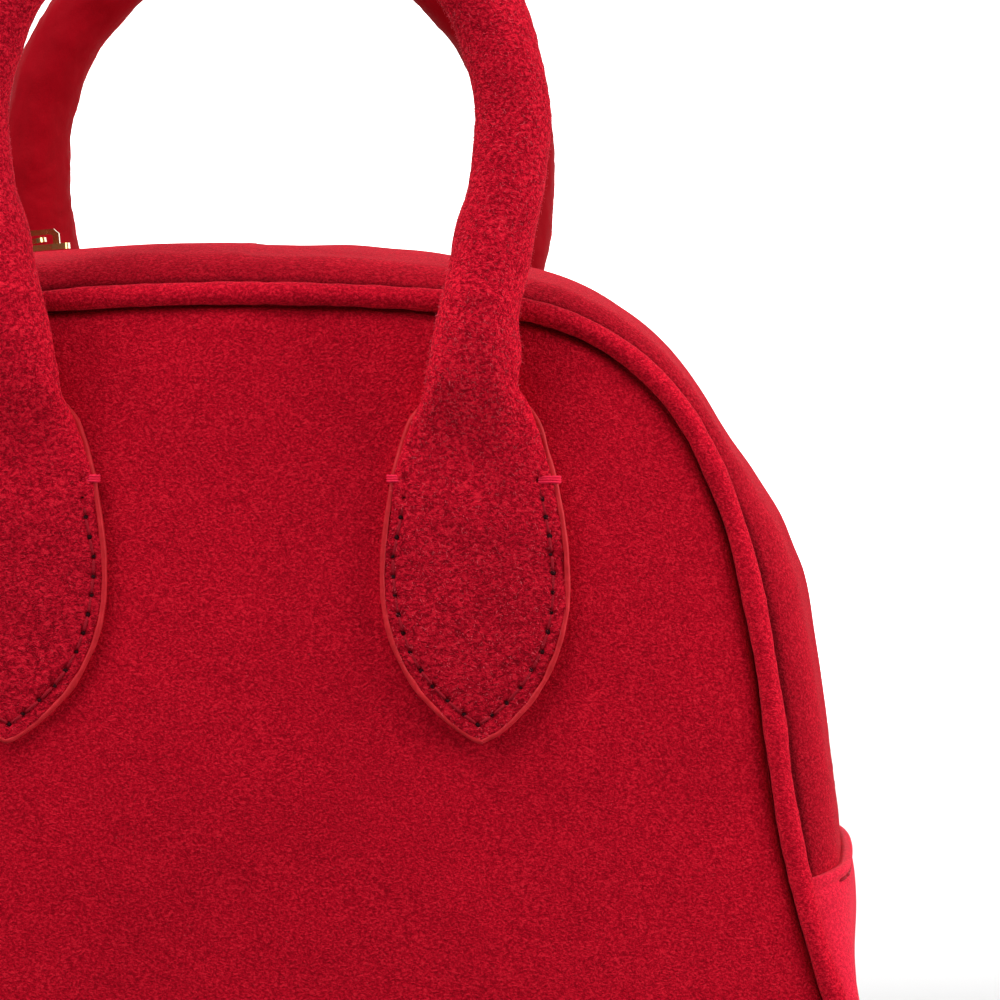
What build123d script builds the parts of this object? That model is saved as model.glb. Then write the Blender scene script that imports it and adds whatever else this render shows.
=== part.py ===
"""Dome-top handbag with two rolled handles: soft case, welted seams, curved top zip.

Frame: +Z up, X along the width, Y along the depth with the front at -Y.
The origin is the centre of the underside.  Millimetres.
"""

from build123d import *
import math
import os

os.makedirs("parts", exist_ok=True)

# ---------------------------------------------------------------- dimensions
TOP_Z = 202.6            # height of the front panel's top edge at the centre
BOTTOM_Z = 6.0           # height of the panel's bottom edge
SEAM_Y = 60.3            # half the distance between the two welted seams
GUSSET_HALF = 57.6       # half width of the gusset between the welts
GUSSET_CROWN = 13.5      # how far the top gusset bulges outside the panel outline
GUSSET_EDGE = 1.0        # the same at the gusset's own long edges
GUSSET_THK = 1.8
BASE_THK = 2.0
BASE_LAP = 2.2           # the base gusset lies this far over the top gusset
PANEL_CROWN = 8.0        # pillow of the front and back panels
PANEL_SOFT = 26.0        # distance over which the pillow rises from the seam
PANEL_THK = 2.0
STIFF_THK = 1.0
LINING_THK = 0.6
WELT_R = 2.4             # welt (piping) outer radius
WELT_CORD_R = 1.4
WELT_OFF = 2.5           # welt centre outside the panel outline
HANDLE_R = 8.0           # rolled handle
HANDLE_WALL = 1.4
CORE_R = 6.3
HANDLE_Y = 71.5          # depth of the handle's plane
ARCH_R = 56.2            # centreline radius of the handle's arch
ARCH_Z = 239.5           # height of the arch's centre
FLEX_X = 51.0            # where the roll flexes
FLEX_Z = 209.0
NECK_TOP_Z = 200.6
TAB_TOP_Z = 186.0
TAB_THK = 1.4
TAB_BACK_THK = 1.0
STITCH_PITCH = 4.2
ZIP_TAPE_HALF = 15.0
ZIP_GAP_HALF = 4.6       # half the gap between the two gusset strips
COIL_HALF = 3.0
SLIDER_TURN = 5.2        # slider's place at rest, degrees left of centre on the top arc

# Outline of the panels, right half, from the top centre clockwise to the
# bottom: (radius, turn in degrees); a negative radius is a hollow curve.
UPPER = [(520.0, 6.0), (50.0, 56.0), (110.0, 15.0), (330.0, 6.5), (-250.0, -6.7), (-250.0, -1.7)]
LOWER_SIDE = [(-250.0, -4.1), (62.0, 29.0)]
CORNER_TURN = 80.0


def walk(state, segments, off=0.0):
    """Follow arcs clockwise from state (x, z, heading); returns every state passed."""
    x, z, h = state
    out = [state]
    for r, turn in segments:
        r_off = r + off
        a0, a1 = math.radians(h), math.radians(h - turn)
        x += r_off * (math.sin(a0) - math.sin(a1))
        z += -r_off * (math.cos(a0) - math.cos(a1))
        h -= turn
        out.append((x, z, h))
    return out


top_states = walk((0.0, TOP_Z, 0.0), UPPER)
lap_state, seam_state = top_states[-2], top_states[-1]
side_states = walk(seam_state, LOWER_SIDE)
_z = side_states[-1][1]
_a0, _a1 = math.radians(side_states[-1][2]), math.radians(-180.0)
CORNER_R = (_z - BOTTOM_Z) / (math.cos(_a0) - math.cos(_a1))
LOWER = LOWER_SIDE + [(CORNER_R, CORNER_TURN)]
corner_end = walk(seam_state, LOWER)[-1]
FLAT_HALF = corner_end[0]


def chain(state, segments, off=0.0):
    """Adds the arcs of a clockwise walk, set off outwards, to the open BuildLine."""
    x, z, h = state
    n = math.radians(h + 90.0)
    x, z = x + off * math.cos(n), z + off * math.sin(n)
    for seg in segments:
        if seg[0] is None:
            a = math.radians(h)
            x2, z2 = x + seg[1] * math.cos(a), z + seg[1] * math.sin(a)
            Line((x, z), (x2, z2))
            x, z = x2, z2
            continue
        r, turn = seg
        r_off = r + off
        t = (math.cos(math.radians(h)), math.sin(math.radians(h)))
        JernArc(start=(x, z), tangent=t, radius=abs(r_off), arc_size=-turn)
        a0, a1 = math.radians(h), math.radians(h - turn)
        x += r_off * (math.sin(a0) - math.sin(a1))
        z += -r_off * (math.cos(a0) - math.cos(a1))
        h -= turn


UP_ALL = list(reversed(UPPER)) + UPPER
LOW_ALL = LOWER + [(None, 2 * FLAT_HALF)] + list(reversed(LOWER))


def mirrored(state):
    """The state on the left side, walking clockwise (upwards)."""
    x, z, h = state
    return (-x, z, -h)


left_seam = mirrored(seam_state)
left_lap = mirrored(lap_state)

with BuildLine(Plane.XZ) as upper_path:
    chain(left_lap, UP_ALL[1:-1])
with BuildLine(Plane.XZ) as lower_path:
    chain(seam_state, LOW_ALL)


def frame_at(state, off=0.0):
    """Section plane across the outline: local x is depth, local y is outwards."""
    x, z, h = state
    n = math.radians(h + 90.0)
    t = math.radians(h)
    return Plane(
        origin=(x + off * math.cos(n), 0, z + off * math.sin(n)),
        x_dir=(0, 1, 0),
        z_dir=(math.cos(t), 0, math.sin(t)),
    )


# ------------------------------------------------------------ pillow of panels
PILLOW_R = 1000.0        # the panels are shallow spherical caps
PILLOW_Z = 82.0          # height of the cap's middle
PILLOW_Y = -SEAM_Y - PANEL_CROWN + PILLOW_R


def pillow_y(x, z, lift=0.0):
    """Depth of the front panel's outer surface, or of a surface lifted off it."""
    r = PILLOW_R + lift
    return PILLOW_Y - math.sqrt(r * r - x * x - (z - PILLOW_Z) ** 2)


def trim_to_cap(lift, thick):
    """Keeps of the open BuildPart what lies between lift and lift - thick off the panel's surface."""
    with Locations((0, PILLOW_Y, PILLOW_Z)):
        Sphere(PILLOW_R + lift, mode=Mode.INTERSECT)
        Sphere(PILLOW_R + lift - thick, mode=Mode.SUBTRACT)


def outline_face(inset):
    """Closed panel outline, set in by inset, on the XZ plane."""
    with BuildSketch(Plane.XZ) as sk:
        with BuildLine():
            chain(left_seam, UP_ALL, -inset)
            chain(seam_state, LOW_ALL, -inset)
        make_face()
    return sk.sketch


# ------------------------------------------------------------ panels and lining
with BuildPart() as front_panel:
    extrude(outline_face(0.05), amount=90)
    trim_to_cap(0.0, PANEL_THK)
    split(bisect_by=Plane.XZ.offset(GUSSET_HALF + 0.02), keep=Keep.TOP)
front_panel.part.label = "front_panel"

with BuildPart() as front_stiffener:
    extrude(outline_face(4.5), amount=90)
    trim_to_cap(-PANEL_THK - 0.2, STIFF_THK)
front_stiffener.part.label = "front_stiffener"

with BuildPart() as front_lining:
    extrude(outline_face(5.0), amount=90)
    trim_to_cap(-PANEL_THK - 2.6, LINING_THK)
front_lining.part.label = "front_lining"

# Reinforcing patches behind the handle tabs, between stiffener and lining.
PATCH_W, PATCH_H, PATCH_Z = 34.0, 62.0, 147.0
with BuildPart() as front_patches:
    with BuildSketch(Plane.XZ):
        with Locations((-48.6, PATCH_Z), (48.6, PATCH_Z)):
            RectangleRounded(PATCH_W, PATCH_H, 8)
    extrude(amount=90)
    trim_to_cap(-PANEL_THK - 0.2 - STIFF_THK - 0.2, 0.9)
front_patches.part.label = "front_handle_patches"

# ---------------------------------------------------------------------- welts
def welt(radius, bore):
    """Ring along the whole seam, solid or hollow."""
    with BuildPart() as ring:
        for state, path_segs in ((left_seam, UP_ALL), (seam_state, LOW_ALL)):
            with BuildLine(Plane.XZ.offset(SEAM_Y)) as path:
                chain(state, path_segs, WELT_OFF)
            start = frame_at(state, WELT_OFF)
            with BuildSketch(Plane(origin=start.origin + Vector(0, -SEAM_Y, 0), x_dir=start.x_dir, z_dir=start.z_dir)):
                Circle(radius)
                if bore:
                    Circle(bore, mode=Mode.SUBTRACT)
            sweep(path=path.wire())
    return ring.part


with BuildPart() as front_welt:
    add(welt(WELT_R, WELT_CORD_R + 0.1))
front_welt.part.label = "front_piping"

with BuildPart() as front_welt_cord:
    add(welt(WELT_CORD_R, 0))
front_welt_cord.part.label = "front_piping_cord"

# -------------------------------------------------------------------- gussets
ARC_R = (GUSSET_HALF**2 + (GUSSET_CROWN - GUSSET_EDGE) ** 2) / (2 * (GUSSET_CROWN - GUSSET_EDGE))
ARC_C = GUSSET_CROWN - ARC_R


def arc_v(u, r):
    return ARC_C + math.sqrt(r * r - u * u)


def strip(u0, u1, r_out, r_in):
    """Curved strip of the top gusset between two depths, as a sketch on the seam section."""
    with BuildSketch(frame_at(left_lap)) as sk:
        with BuildLine():
            um = (u0 + u1) / 2
            a = (u0, arc_v(u0, r_out))
            b = (u1, arc_v(u1, r_out))
            c = (u1, arc_v(u1, r_in))
            d = (u0, arc_v(u0, r_in))
            ThreePointArc(a, (um, arc_v(um, r_out)), b)
            Line(b, c)
            ThreePointArc(c, (um, arc_v(um, r_in)), d)
            Line(d, a)
        make_face()
    return sk.sketch


def flat_strip(u0, u1, v0, v1, state):
    with BuildSketch(frame_at(state)) as sk:
        with Locations(((u0 + u1) / 2, (v0 + v1) / 2)):
            Rectangle(abs(u1 - u0), abs(v1 - v0))
    return sk.sketch


with BuildPart() as gusset_front:
    sweep(strip(-GUSSET_HALF, -ZIP_GAP_HALF, ARC_R, ARC_R - GUSSET_THK), path=upper_path.wire())
gusset_front.part.label = "top_gusset_front"

with BuildPart() as tape_front:
    sweep(strip(-ZIP_TAPE_HALF, -0.3, ARC_R - GUSSET_THK - 0.15, ARC_R - GUSSET_THK - 0.75), path=upper_path.wire())
tape_front.part.label = "zip_tape_front"

with BuildPart() as coil_front:
    sweep(strip(-COIL_HALF, -0.12, ARC_R - 0.2, ARC_R - GUSSET_THK - 0.05), path=upper_path.wire())
coil_front.part.label = "zip_coil_front"

with BuildPart() as gusset_lining:
    sweep(flat_strip(-54, -17, -2.2, -1.6, left_lap), path=upper_path.wire())
    sweep(flat_strip(17, 54, -2.2, -1.6, left_lap), path=upper_path.wire())
gusset_lining.part.label = "gusset_lining"

with BuildPart() as base_lining:
    sweep(flat_strip(-54, 54, -2.2, -1.6, seam_state), path=lower_path.wire())
base_lining.part.label = "base_lining"


def base_section(state, crown, power):
    """Closed section of the base gusset: bowed at the side walls, flat underneath."""
    us = [-GUSSET_HALF * math.cos(math.pi * i / 8) for i in range(9)]
    outer = [(u, GUSSET_EDGE + (crown - GUSSET_EDGE) * (1 - abs(u / GUSSET_HALF) ** power)) for u in us]
    inner = [(u * 0.992, v - BASE_THK) for u, v in outer]
    with BuildSketch(frame_at(state)) as sk:
        with BuildLine():
            Spline(*outer)
            Line(outer[-1], inner[-1])
            Spline(*reversed(inner))
            Line(inner[0], outer[0])
        make_face()
    return sk.sketch


TOP_LAP_CROWN = GUSSET_CROWN + BASE_LAP
prof = walk(lap_state, [(-250.0, -1.7), (-250.0, -4.1), (62.0, 14.5), (62.0, 14.5),
                        (CORNER_R, 27.0), (CORNER_R, 27.0), (CORNER_R, 26.0)])
crowns = [TOP_LAP_CROWN, TOP_LAP_CROWN, 10.6, 8.2, 7.0, 6.5, 6.3, 6.2]
powers = [2.0, 2.0, 2.3, 2.9, 3.8, 4.8, 5.6, 6.0]

with BuildPart() as base_side:
    for st, cr, pw in zip(prof, crowns, powers):
        add(base_section(st, cr, pw))
    loft()
with BuildPart() as base_gusset:
    add(base_side.part)
    mirror(base_side.part, about=Plane.YZ)
    extrude(base_section(corner_end, crowns[-1], powers[-1]), amount=2 * FLAT_HALF)
    split(bisect_by=Plane.XY, keep=Keep.TOP)
    split(bisect_by=Plane.XZ.offset(GUSSET_HALF), keep=Keep.BOTTOM)
    split(bisect_by=Plane.XZ.offset(-GUSSET_HALF), keep=Keep.TOP)
base_gusset.part.label = "base_gusset"
print("base_gusset valid", base_gusset.part.is_valid, len(base_gusset.part.solids()))

with BuildPart() as base_board:
    with BuildSketch(Plane.XY.offset(3.2)):
        RectangleRounded(2 * FLAT_HALF - 6, 84, 14)
    extrude(amount=1.8)
base_board.part.label = "base_board"

# ---------------------------------------------------- topstitch on the base lap
def stitch_row_base():
    planes = []
    st = walk(lap_state, [(-250.0, -0.55)])[-1]
    for side in (1, -1):
        n = 25
        for i in range(n):
            u = -STITCH_PITCH * (n - 1) / 2 + STITCH_PITCH * i
            v = GUSSET_EDGE + (TOP_LAP_CROWN - GUSSET_EDGE) * (1 - abs(u / GUSSET_HALF) ** 2) + 0.85
            slope = -(TOP_LAP_CROWN - GUSSET_EDGE) * 2 * u / GUSSET_HALF**2
            fr = frame_at(st)
            o = fr.from_local_coords((u, v, 0))
            d = fr.from_local_coords((u + 1, v + slope, 0)) - o
            nrm = fr.from_local_coords((u - slope, v + 1, 0)) - o
            if side < 0:
                o, d, nrm = Vector(-o.X, o.Y, o.Z), Vector(-d.X, d.Y, d.Z), Vector(-nrm.X, nrm.Y, nrm.Z)
            planes.append(Plane(origin=o, x_dir=d, z_dir=nrm))
    return planes


with BuildPart() as base_stitch:
    with Locations(*stitch_row_base()):
        Box(3.1, 0.8, 0.5)
base_stitch.part.label = "base_gusset_topstitch"

# -------------------------------------------------------------------- handles
with BuildLine(Plane.XZ.offset(HANDLE_Y)) as arch_path:
    r_foot = ((ARCH_R - FLEX_X) ** 2 + (ARCH_Z - FLEX_Z) ** 2) / (2 * (ARCH_R - FLEX_X))
    foot_ang = math.degrees(math.asin((ARCH_Z - FLEX_Z) / r_foot))
    a0 = math.radians(90 - foot_ang)
    JernArc(start=(-FLEX_X, FLEX_Z), tangent=(-math.cos(a0), math.sin(a0)), radius=r_foot, arc_size=-foot_ang)
    JernArc(start=(-ARCH_R, ARCH_Z), tangent=(0, 1), radius=ARCH_R, arc_size=-180)
    JernArc(start=(ARCH_R, ARCH_Z), tangent=(0, -1), radius=r_foot, arc_size=-foot_ang)
arch_wire = arch_path.wire()
start_plane = Plane(origin=arch_wire @ 0, x_dir=(0, 1, 0), z_dir=arch_wire % 0)

with BuildPart() as front_wrap:
    with BuildSketch(start_plane):
        Circle(HANDLE_R)
    sweep(path=arch_wire)
    with Locations(arch_wire @ 0, arch_wire @ 1):
        Sphere(HANDLE_R)
    with BuildSketch(start_plane):
        Circle(HANDLE_R - HANDLE_WALL)
    sweep(path=arch_wire, mode=Mode.SUBTRACT)
    with Locations(arch_wire @ 0, arch_wire @ 1):
        Sphere(HANDLE_R)
front_wrap.part.label = "front_handle_wrap"

with BuildLine(Plane.XZ.offset(HANDLE_Y)) as core_path:
    lead = 6.5
    trim = math.degrees(8.4 / r_foot)
    x0 = -FLEX_X - (r_foot * (math.cos(math.radians(foot_ang - trim)) - math.cos(math.radians(foot_ang))))
    z0 = FLEX_Z + r_foot * (math.sin(math.radians(foot_ang)) - math.sin(math.radians(foot_ang - trim)))
    a1 = math.radians(90 - (foot_ang - trim))
    JernArc(start=(x0, z0), tangent=(-math.cos(a1), math.sin(a1)), radius=r_foot, arc_size=-(foot_ang - trim))
    JernArc(start=(-ARCH_R, ARCH_Z), tangent=(0, 1), radius=ARCH_R, arc_size=-180)
    JernArc(start=(ARCH_R, ARCH_Z), tangent=(0, -1), radius=r_foot, arc_size=-(foot_ang - trim))
core_wire = core_path.wire()
with BuildPart() as front_core:
    with BuildSketch(Plane(origin=core_wire @ 0, x_dir=(0, 1, 0), z_dir=core_wire % 0)):
        Circle(CORE_R)
    sweep(path=core_wire)
front_core.part.label = "front_handle_core"

# Leaf-shaped tab: outline of the right-hand one, as seen from the front.
LEAF = [
    (38.4, 186.0), (34.0, 178.0), (31.0, 168.0), (29.0, 153.0), (28.6, 143.5), (30.2, 132.8),
    (35.0, 122.9), (42.3, 115.0), (49.4, 110.9), (56.6, 114.9), (63.0, 122.9), (67.2, 133.0),
    (68.5, 143.5), (67.9, 153.0), (65.6, 167.0), (62.8, 177.6), (58.6, 186.0),
]


def leaf_face(grow):
    with BuildSketch(Plane.XZ) as sk:
        with BuildLine():
            Spline(*LEAF)
            Line(LEAF[-1], LEAF[0])
        make_face()
        if grow:
            offset(amount=grow, kind=Kind.INTERSECTION)
    return sk.sketch


with BuildPart() as tab_right:
    extrude(leaf_face(0), amount=90)
    trim_to_cap(0.3 + TAB_BACK_THK + 0.05 + TAB_THK, TAB_THK)
print("tab valid", tab_right.part.is_valid, tab_right.part.volume)


def neck_section(x, y, z, w, d):
    with BuildSketch(Plane.XY.offset(z)) as sk:
        with Locations((x, y)):
            Ellipse(w / 2, d / 2)
    return sk.sketch


with BuildPart() as neck_right:
    add(neck_section(49.0, -HANDLE_Y, NECK_TOP_Z, 16.0, 16.0))
    add(neck_section(48.7, -70.6, 196.0, 17.0, 13.0))
    add(neck_section(48.6, -67.6, 190.5, 19.0, 7.4))
    add(neck_section(48.5, -65.1, 186.2, 20.4, 3.0))
    loft()
neck_right.part.label = "front_handle_neck_right"
tab_right.part.label = "front_handle_tab_right"

with BuildPart() as back_right:
    extrude(leaf_face(0), amount=90)
    trim_to_cap(0.3 + TAB_BACK_THK, TAB_BACK_THK)
back_right.part.label = "front_tab_backing_right"


def mirror_x(solid, label):
    with BuildPart() as m:
        mirror(solid, about=Plane.YZ)
    m.part.label = label
    return m.part


# Stitches round each tab, three millimetres in from its edge.
def leaf_points():
    wire = Spline(*LEAF)
    pts = []
    n = 400
    for i in range(n + 1):
        p = wire @ (i / n)
        t = wire % (i / n)
        pts.append((p.X, p.Y, t.X, t.Y))
    return pts


def tab_stitch_planes():
    inset = 2.9
    row = []
    for x, z, tx, tz in leaf_points():
        row.append((x - tz * inset, z + tx * inset, tx, tz))
    # inset must run to the inside of the outline
    planes, run, last = [], 0.0, None
    want = 0.0
    for x, z, tx, tz in row:
        if last is not None:
            run += math.hypot(x - last[0], z - last[1])
        last = (x, z)
        if z > 168.5:
            want = run
            continue
        if run >= want:
            want = run + STITCH_PITCH
            lift = 0.3 + TAB_BACK_THK + 0.05 + TAB_THK + 0.34
            y = pillow_y(x, z, lift)
            gx = x / PILLOW_R
            gz = (z - PILLOW_Z) / PILLOW_R
            tangent = Vector(tx, gx * tx + gz * tz, tz)
            normal = Vector(gx, -1, gz)
            planes.append(Plane(origin=(x, y, z), x_dir=tangent, z_dir=normal))
    return planes


stitch_planes = tab_stitch_planes()
print("tab stitches", len(stitch_planes), stitch_planes[0].origin, stitch_planes[-1].origin)
with BuildPart() as tab_stitch_right:
    with Locations(*stitch_planes):
        Box(3.0, 0.8, 0.45)
with BuildPart() as tab_stitch:
    add(tab_stitch_right.part)
    mirror(tab_stitch_right.part, about=Plane.YZ)
tab_stitch.part.label = "front_tab_stitching"

# ------------------------------------------------------------------ zip slider
ZIP_R = 520.0 + arc_v(0, ARC_R)          # radius of the chain's top surface on the top arc
ZIP_CENTRE_Z = TOP_Z - 520.0
ang = math.radians(SLIDER_TURN)
sl_o = Vector(-ZIP_R * math.sin(ang), 0, ZIP_CENTRE_Z + ZIP_R * math.cos(ang))
# local x along the zip (to the right), local z outwards
slider_plane = Plane(origin=sl_o, x_dir=(math.cos(ang), 0, math.sin(ang)), z_dir=(-math.sin(ang), 0, math.cos(ang)))

with BuildPart() as slider:
    with BuildSketch(slider_plane.offset(0.35)):
        with BuildLine():
            Polyline((-5.5, -3.6), (2.5, -4.2), (6.0, -3.0), (6.0, 3.0), (2.5, 4.2), (-5.5, 3.6), close=True)
        make_face()
    extrude(amount=1.3)
    fillet(slider.edges().filter_by(lambda e: abs((e % 0.5).dot(slider_plane.z_dir)) > 0.95), 1.2)
    with BuildSketch(Plane(origin=slider_plane.from_local_coords((0, 0, 0)), x_dir=slider_plane.x_dir,
                           z_dir=-slider_plane.y_dir)):
        with BuildLine():
            Polyline((-4.0, 1.6), (-4.0, 3.9), (-2.9, 5.0), (2.9, 5.0), (4.0, 3.9), (4.0, 1.6),
                     (2.6, 1.6), (2.6, 3.5), (2.2, 3.85), (-2.2, 3.85), (-2.6, 3.5), (-2.6, 1.6), close=True)
        make_face()
    extrude(amount=1.1, both=True)
slider.part.label = "zip_slider"

# Puller: a loop round the slider's bridge and a flat bar with a leather tab,
# lying back along the zip and a little downwards, over the left shoulder.
PIVOT_H = 2.75
PULL_DROP = 4.0
PULL_END = 42.0
pull_axis = slider_plane.from_local_coords((0, 0, PIVOT_H))
pang = ang + math.radians(PULL_DROP)
pull_plane = Plane(origin=pull_axis, x_dir=(math.cos(pang), 0, math.sin(pang)), z_dir=(-math.sin(pang), 0, math.cos(pang)))

with BuildPart() as puller:
    with BuildSketch(pull_plane):
        with Locations((-8.55, 0)):
            RectangleRounded(18.9, 7.6, 1.8)
        with Locations((-2.15, 0)):
            RectangleRounded(4.9, 4.2, 0.5, mode=Mode.SUBTRACT)
        with Locations((-8.8, 0)):
            RectangleRounded(4.0, 3.6, 0.9, mode=Mode.SUBTRACT)
        with Locations((-13.6, 0)):
            RectangleRounded(3.0, 4.4, 0.6, mode=Mode.SUBTRACT)
    extrude(amount=0.5, both=True)
puller.part.label = "zip_puller"

with BuildPart() as pull_tab:
    with BuildSketch(pull_plane):
        with BuildLine():
            Polyline((-18.2, -3.4), (-PULL_END + 4, -5.0), (-PULL_END, -2.2), (-PULL_END, 2.2), (-PULL_END + 4, 5.0),
                     (-18.2, 3.4), close=True)
        make_face()
    extrude(amount=0.9, both=True)
    # the leather's front end folds through the puller's slot
    with BuildSketch(pull_plane.offset(0.7)):
        with Locations((-15.5, 0)):
            Rectangle(6.0, 3.8)
    extrude(amount=0.65)
    with BuildSketch(pull_plane.offset(-0.7)):
        with Locations((-15.5, 0)):
            Rectangle(6.0, 3.8)
    extrude(amount=-0.65)
    with BuildSketch(pull_plane.offset(-0.8)):
        with Locations((-13.6, 0)):
            Rectangle(1.8, 3.8)
    extrude(amount=1.6)
pull_tab.part.label = "zip_pull_tab"


# ----------------------------------------------------------- rear of the bag
def mirror_y(solid, label):
    with BuildPart() as m:
        mirror(solid, about=Plane.XZ)
    m.part.label = label
    return m.part


written = []


def write(solid, name):
    solid.label = name
    export_step(solid, "parts/" + name + ".step")
    written.append(name)


pieces = [
    (front_panel.part, "front_panel", "back_panel"),
    (front_stiffener.part, "front_stiffener", "back_stiffener"),
    (front_lining.part, "front_lining", "back_lining"),
    (front_patches.part, "front_handle_patches", "rear_handle_patches"),
    (front_welt.part, "front_piping", "back_piping"),
    (front_welt_cord.part, "front_piping_cord", "back_piping_cord"),
    (gusset_front.part, "top_gusset_front", "top_gusset_rear"),
    (tape_front.part, "zip_tape_front", "zip_tape_rear"),
    (coil_front.part, "zip_coil_front", "zip_coil_rear"),
    (front_wrap.part, "front_handle_wrap", "rear_handle_wrap"),
    (front_core.part, "front_handle_core", "rear_handle_core"),
    (neck_right.part, "front_handle_neck_right", "rear_handle_neck_right"),
    (mirror_x(neck_right.part, "l"), "front_handle_neck_left", "rear_handle_neck_left"),
    (tab_right.part, "front_handle_tab_right", "rear_handle_tab_right"),
    (mirror_x(tab_right.part, "l"), "front_handle_tab_left", "rear_handle_tab_left"),
    (back_right.part, "front_tab_backing_right", "rear_tab_backing_right"),
    (mirror_x(back_right.part, "l"), "front_tab_backing_left", "rear_tab_backing_left"),
    (tab_stitch.part, "front_tab_stitching", "rear_tab_stitching"),
]
for solid, front_name, rear_name in pieces:
    write(solid, front_name)
    write(mirror_y(solid, rear_name), rear_name)
for solid, name in [
    (gusset_lining.part, "gusset_lining"),
    (base_lining.part, "base_lining"),
    (base_gusset.part, "base_gusset"),
    (base_board.part, "base_board"),
    (base_stitch.part, "base_gusset_topstitch"),
    (slider.part, "zip_slider"),
    (puller.part, "zip_puller"),
    (pull_tab.part, "zip_pull_tab"),
]:
    write(solid, name)
print(len(written), "pieces")
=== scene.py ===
import math

import bpy
import numpy as np
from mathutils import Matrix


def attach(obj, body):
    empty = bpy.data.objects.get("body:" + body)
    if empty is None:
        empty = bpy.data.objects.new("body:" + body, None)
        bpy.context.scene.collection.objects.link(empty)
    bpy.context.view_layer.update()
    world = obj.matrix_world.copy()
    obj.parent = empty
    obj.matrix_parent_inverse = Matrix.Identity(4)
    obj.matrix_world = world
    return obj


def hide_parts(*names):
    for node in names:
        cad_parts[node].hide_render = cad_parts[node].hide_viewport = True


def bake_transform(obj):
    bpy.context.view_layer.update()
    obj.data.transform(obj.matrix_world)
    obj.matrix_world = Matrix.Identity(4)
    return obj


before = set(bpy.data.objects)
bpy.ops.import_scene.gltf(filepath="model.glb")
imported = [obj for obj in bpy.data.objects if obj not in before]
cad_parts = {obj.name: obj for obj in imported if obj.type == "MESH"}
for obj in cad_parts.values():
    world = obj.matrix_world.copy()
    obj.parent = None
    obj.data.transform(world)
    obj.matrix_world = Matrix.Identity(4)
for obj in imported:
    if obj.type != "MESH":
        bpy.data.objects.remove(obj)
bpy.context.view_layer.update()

# Everything below is worked out in millimetres and scaled by MM when a mesh is made.
MM = 0.001

# ------------------------------------------------------------------ the outline
TOP_Z, BOTTOM_Z, SEAM_Y = 202.6, 6.0, 60.3
GH, EDGE = 57.6, 1.0
WELT_R, WELT_OFF = 2.4, 2.5
UPPER = [(520.0, 6.0), (50.0, 56.0), (110.0, 15.0), (330.0, 6.5), (-250.0, -6.7), (-250.0, -1.7)]
LOWER_SIDE = [(-250.0, -4.1), (62.0, 29.0)]


def arc_points(state, segments, step):
    """Points (x, z, heading, arclength) along clockwise arcs."""
    x, z, h = state
    out, run = [], 0.0
    for r, turn in segments:
        if r is None:
            n = max(1, round(turn / step))
            a = math.radians(h)
            for i in range(n):
                d = turn * i / n
                out.append((x + d * math.cos(a), z + d * math.sin(a), h, run + d))
            x, z = x + turn * math.cos(a), z + turn * math.sin(a)
            run += turn
            continue
        length = abs(r * math.radians(turn))
        n = max(1, round(length / step))
        for i in range(n):
            a0, a1 = math.radians(h), math.radians(h - turn * i / n)
            out.append((x + r * (math.sin(a0) - math.sin(a1)), z - r * (math.cos(a0) - math.cos(a1)),
                        h - turn * i / n, run + length * i / n))
        a0, a1 = math.radians(h), math.radians(h - turn)
        x += r * (math.sin(a0) - math.sin(a1))
        z -= r * (math.cos(a0) - math.cos(a1))
        h -= turn
        run += length
    out.append((x, z, h, run))
    return np.array(out)


right_upper = arc_points((0.0, TOP_Z, 0.0), UPPER, 1.5)
seam_state = tuple(right_upper[-1][:3])
lap_state = tuple(arc_points((0.0, TOP_Z, 0.0), UPPER[:-1], 1.5)[-1][:3])
side_end = arc_points(seam_state, LOWER_SIDE, 1.5)[-1]
CORNER_R = (side_end[1] - BOTTOM_Z) / (math.cos(math.radians(side_end[2])) + 1.0)
LOWER = LOWER_SIDE + [(CORNER_R, 80.0)]
corner_end = arc_points(seam_state, LOWER, 1.5)[-1]
FLAT = corner_end[0]
left_seam = (-seam_state[0], seam_state[1], -seam_state[2])
S_UP = right_upper[-1][3]
up = arc_points(left_seam, list(reversed(UPPER)) + UPPER, 1.5)
LAP_LEN = 250.0 * math.radians(1.7)
low = arc_points(lap_state, [(-250.0, -1.7)] + LOWER + [(None, 2 * FLAT)] + list(reversed(LOWER)) + [(-250.0, -1.7)], 1.5)
low_seam = arc_points(seam_state, LOWER + [(None, 2 * FLAT)] + list(reversed(LOWER)), 1.5)
loop = np.vstack([up[:-1], low_seam[:-1]])


def place(path, u, v):
    """3D points for depth u and outward offset v (arrays) along a path's rows."""
    h = np.radians(path[:, 2] + 90.0)
    u = np.broadcast_to(u, (len(path),) + np.shape(u)[1:] if np.ndim(u) > 1 else (len(path), np.size(u)))
    x = path[:, 0][:, None] + v * np.cos(h)[:, None]
    z = path[:, 1][:, None] + v * np.sin(h)[:, None]
    return np.stack([x, np.broadcast_to(u, x.shape), z], -1)


LX, LZ = loop[:, 0], loop[:, 1]


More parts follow.
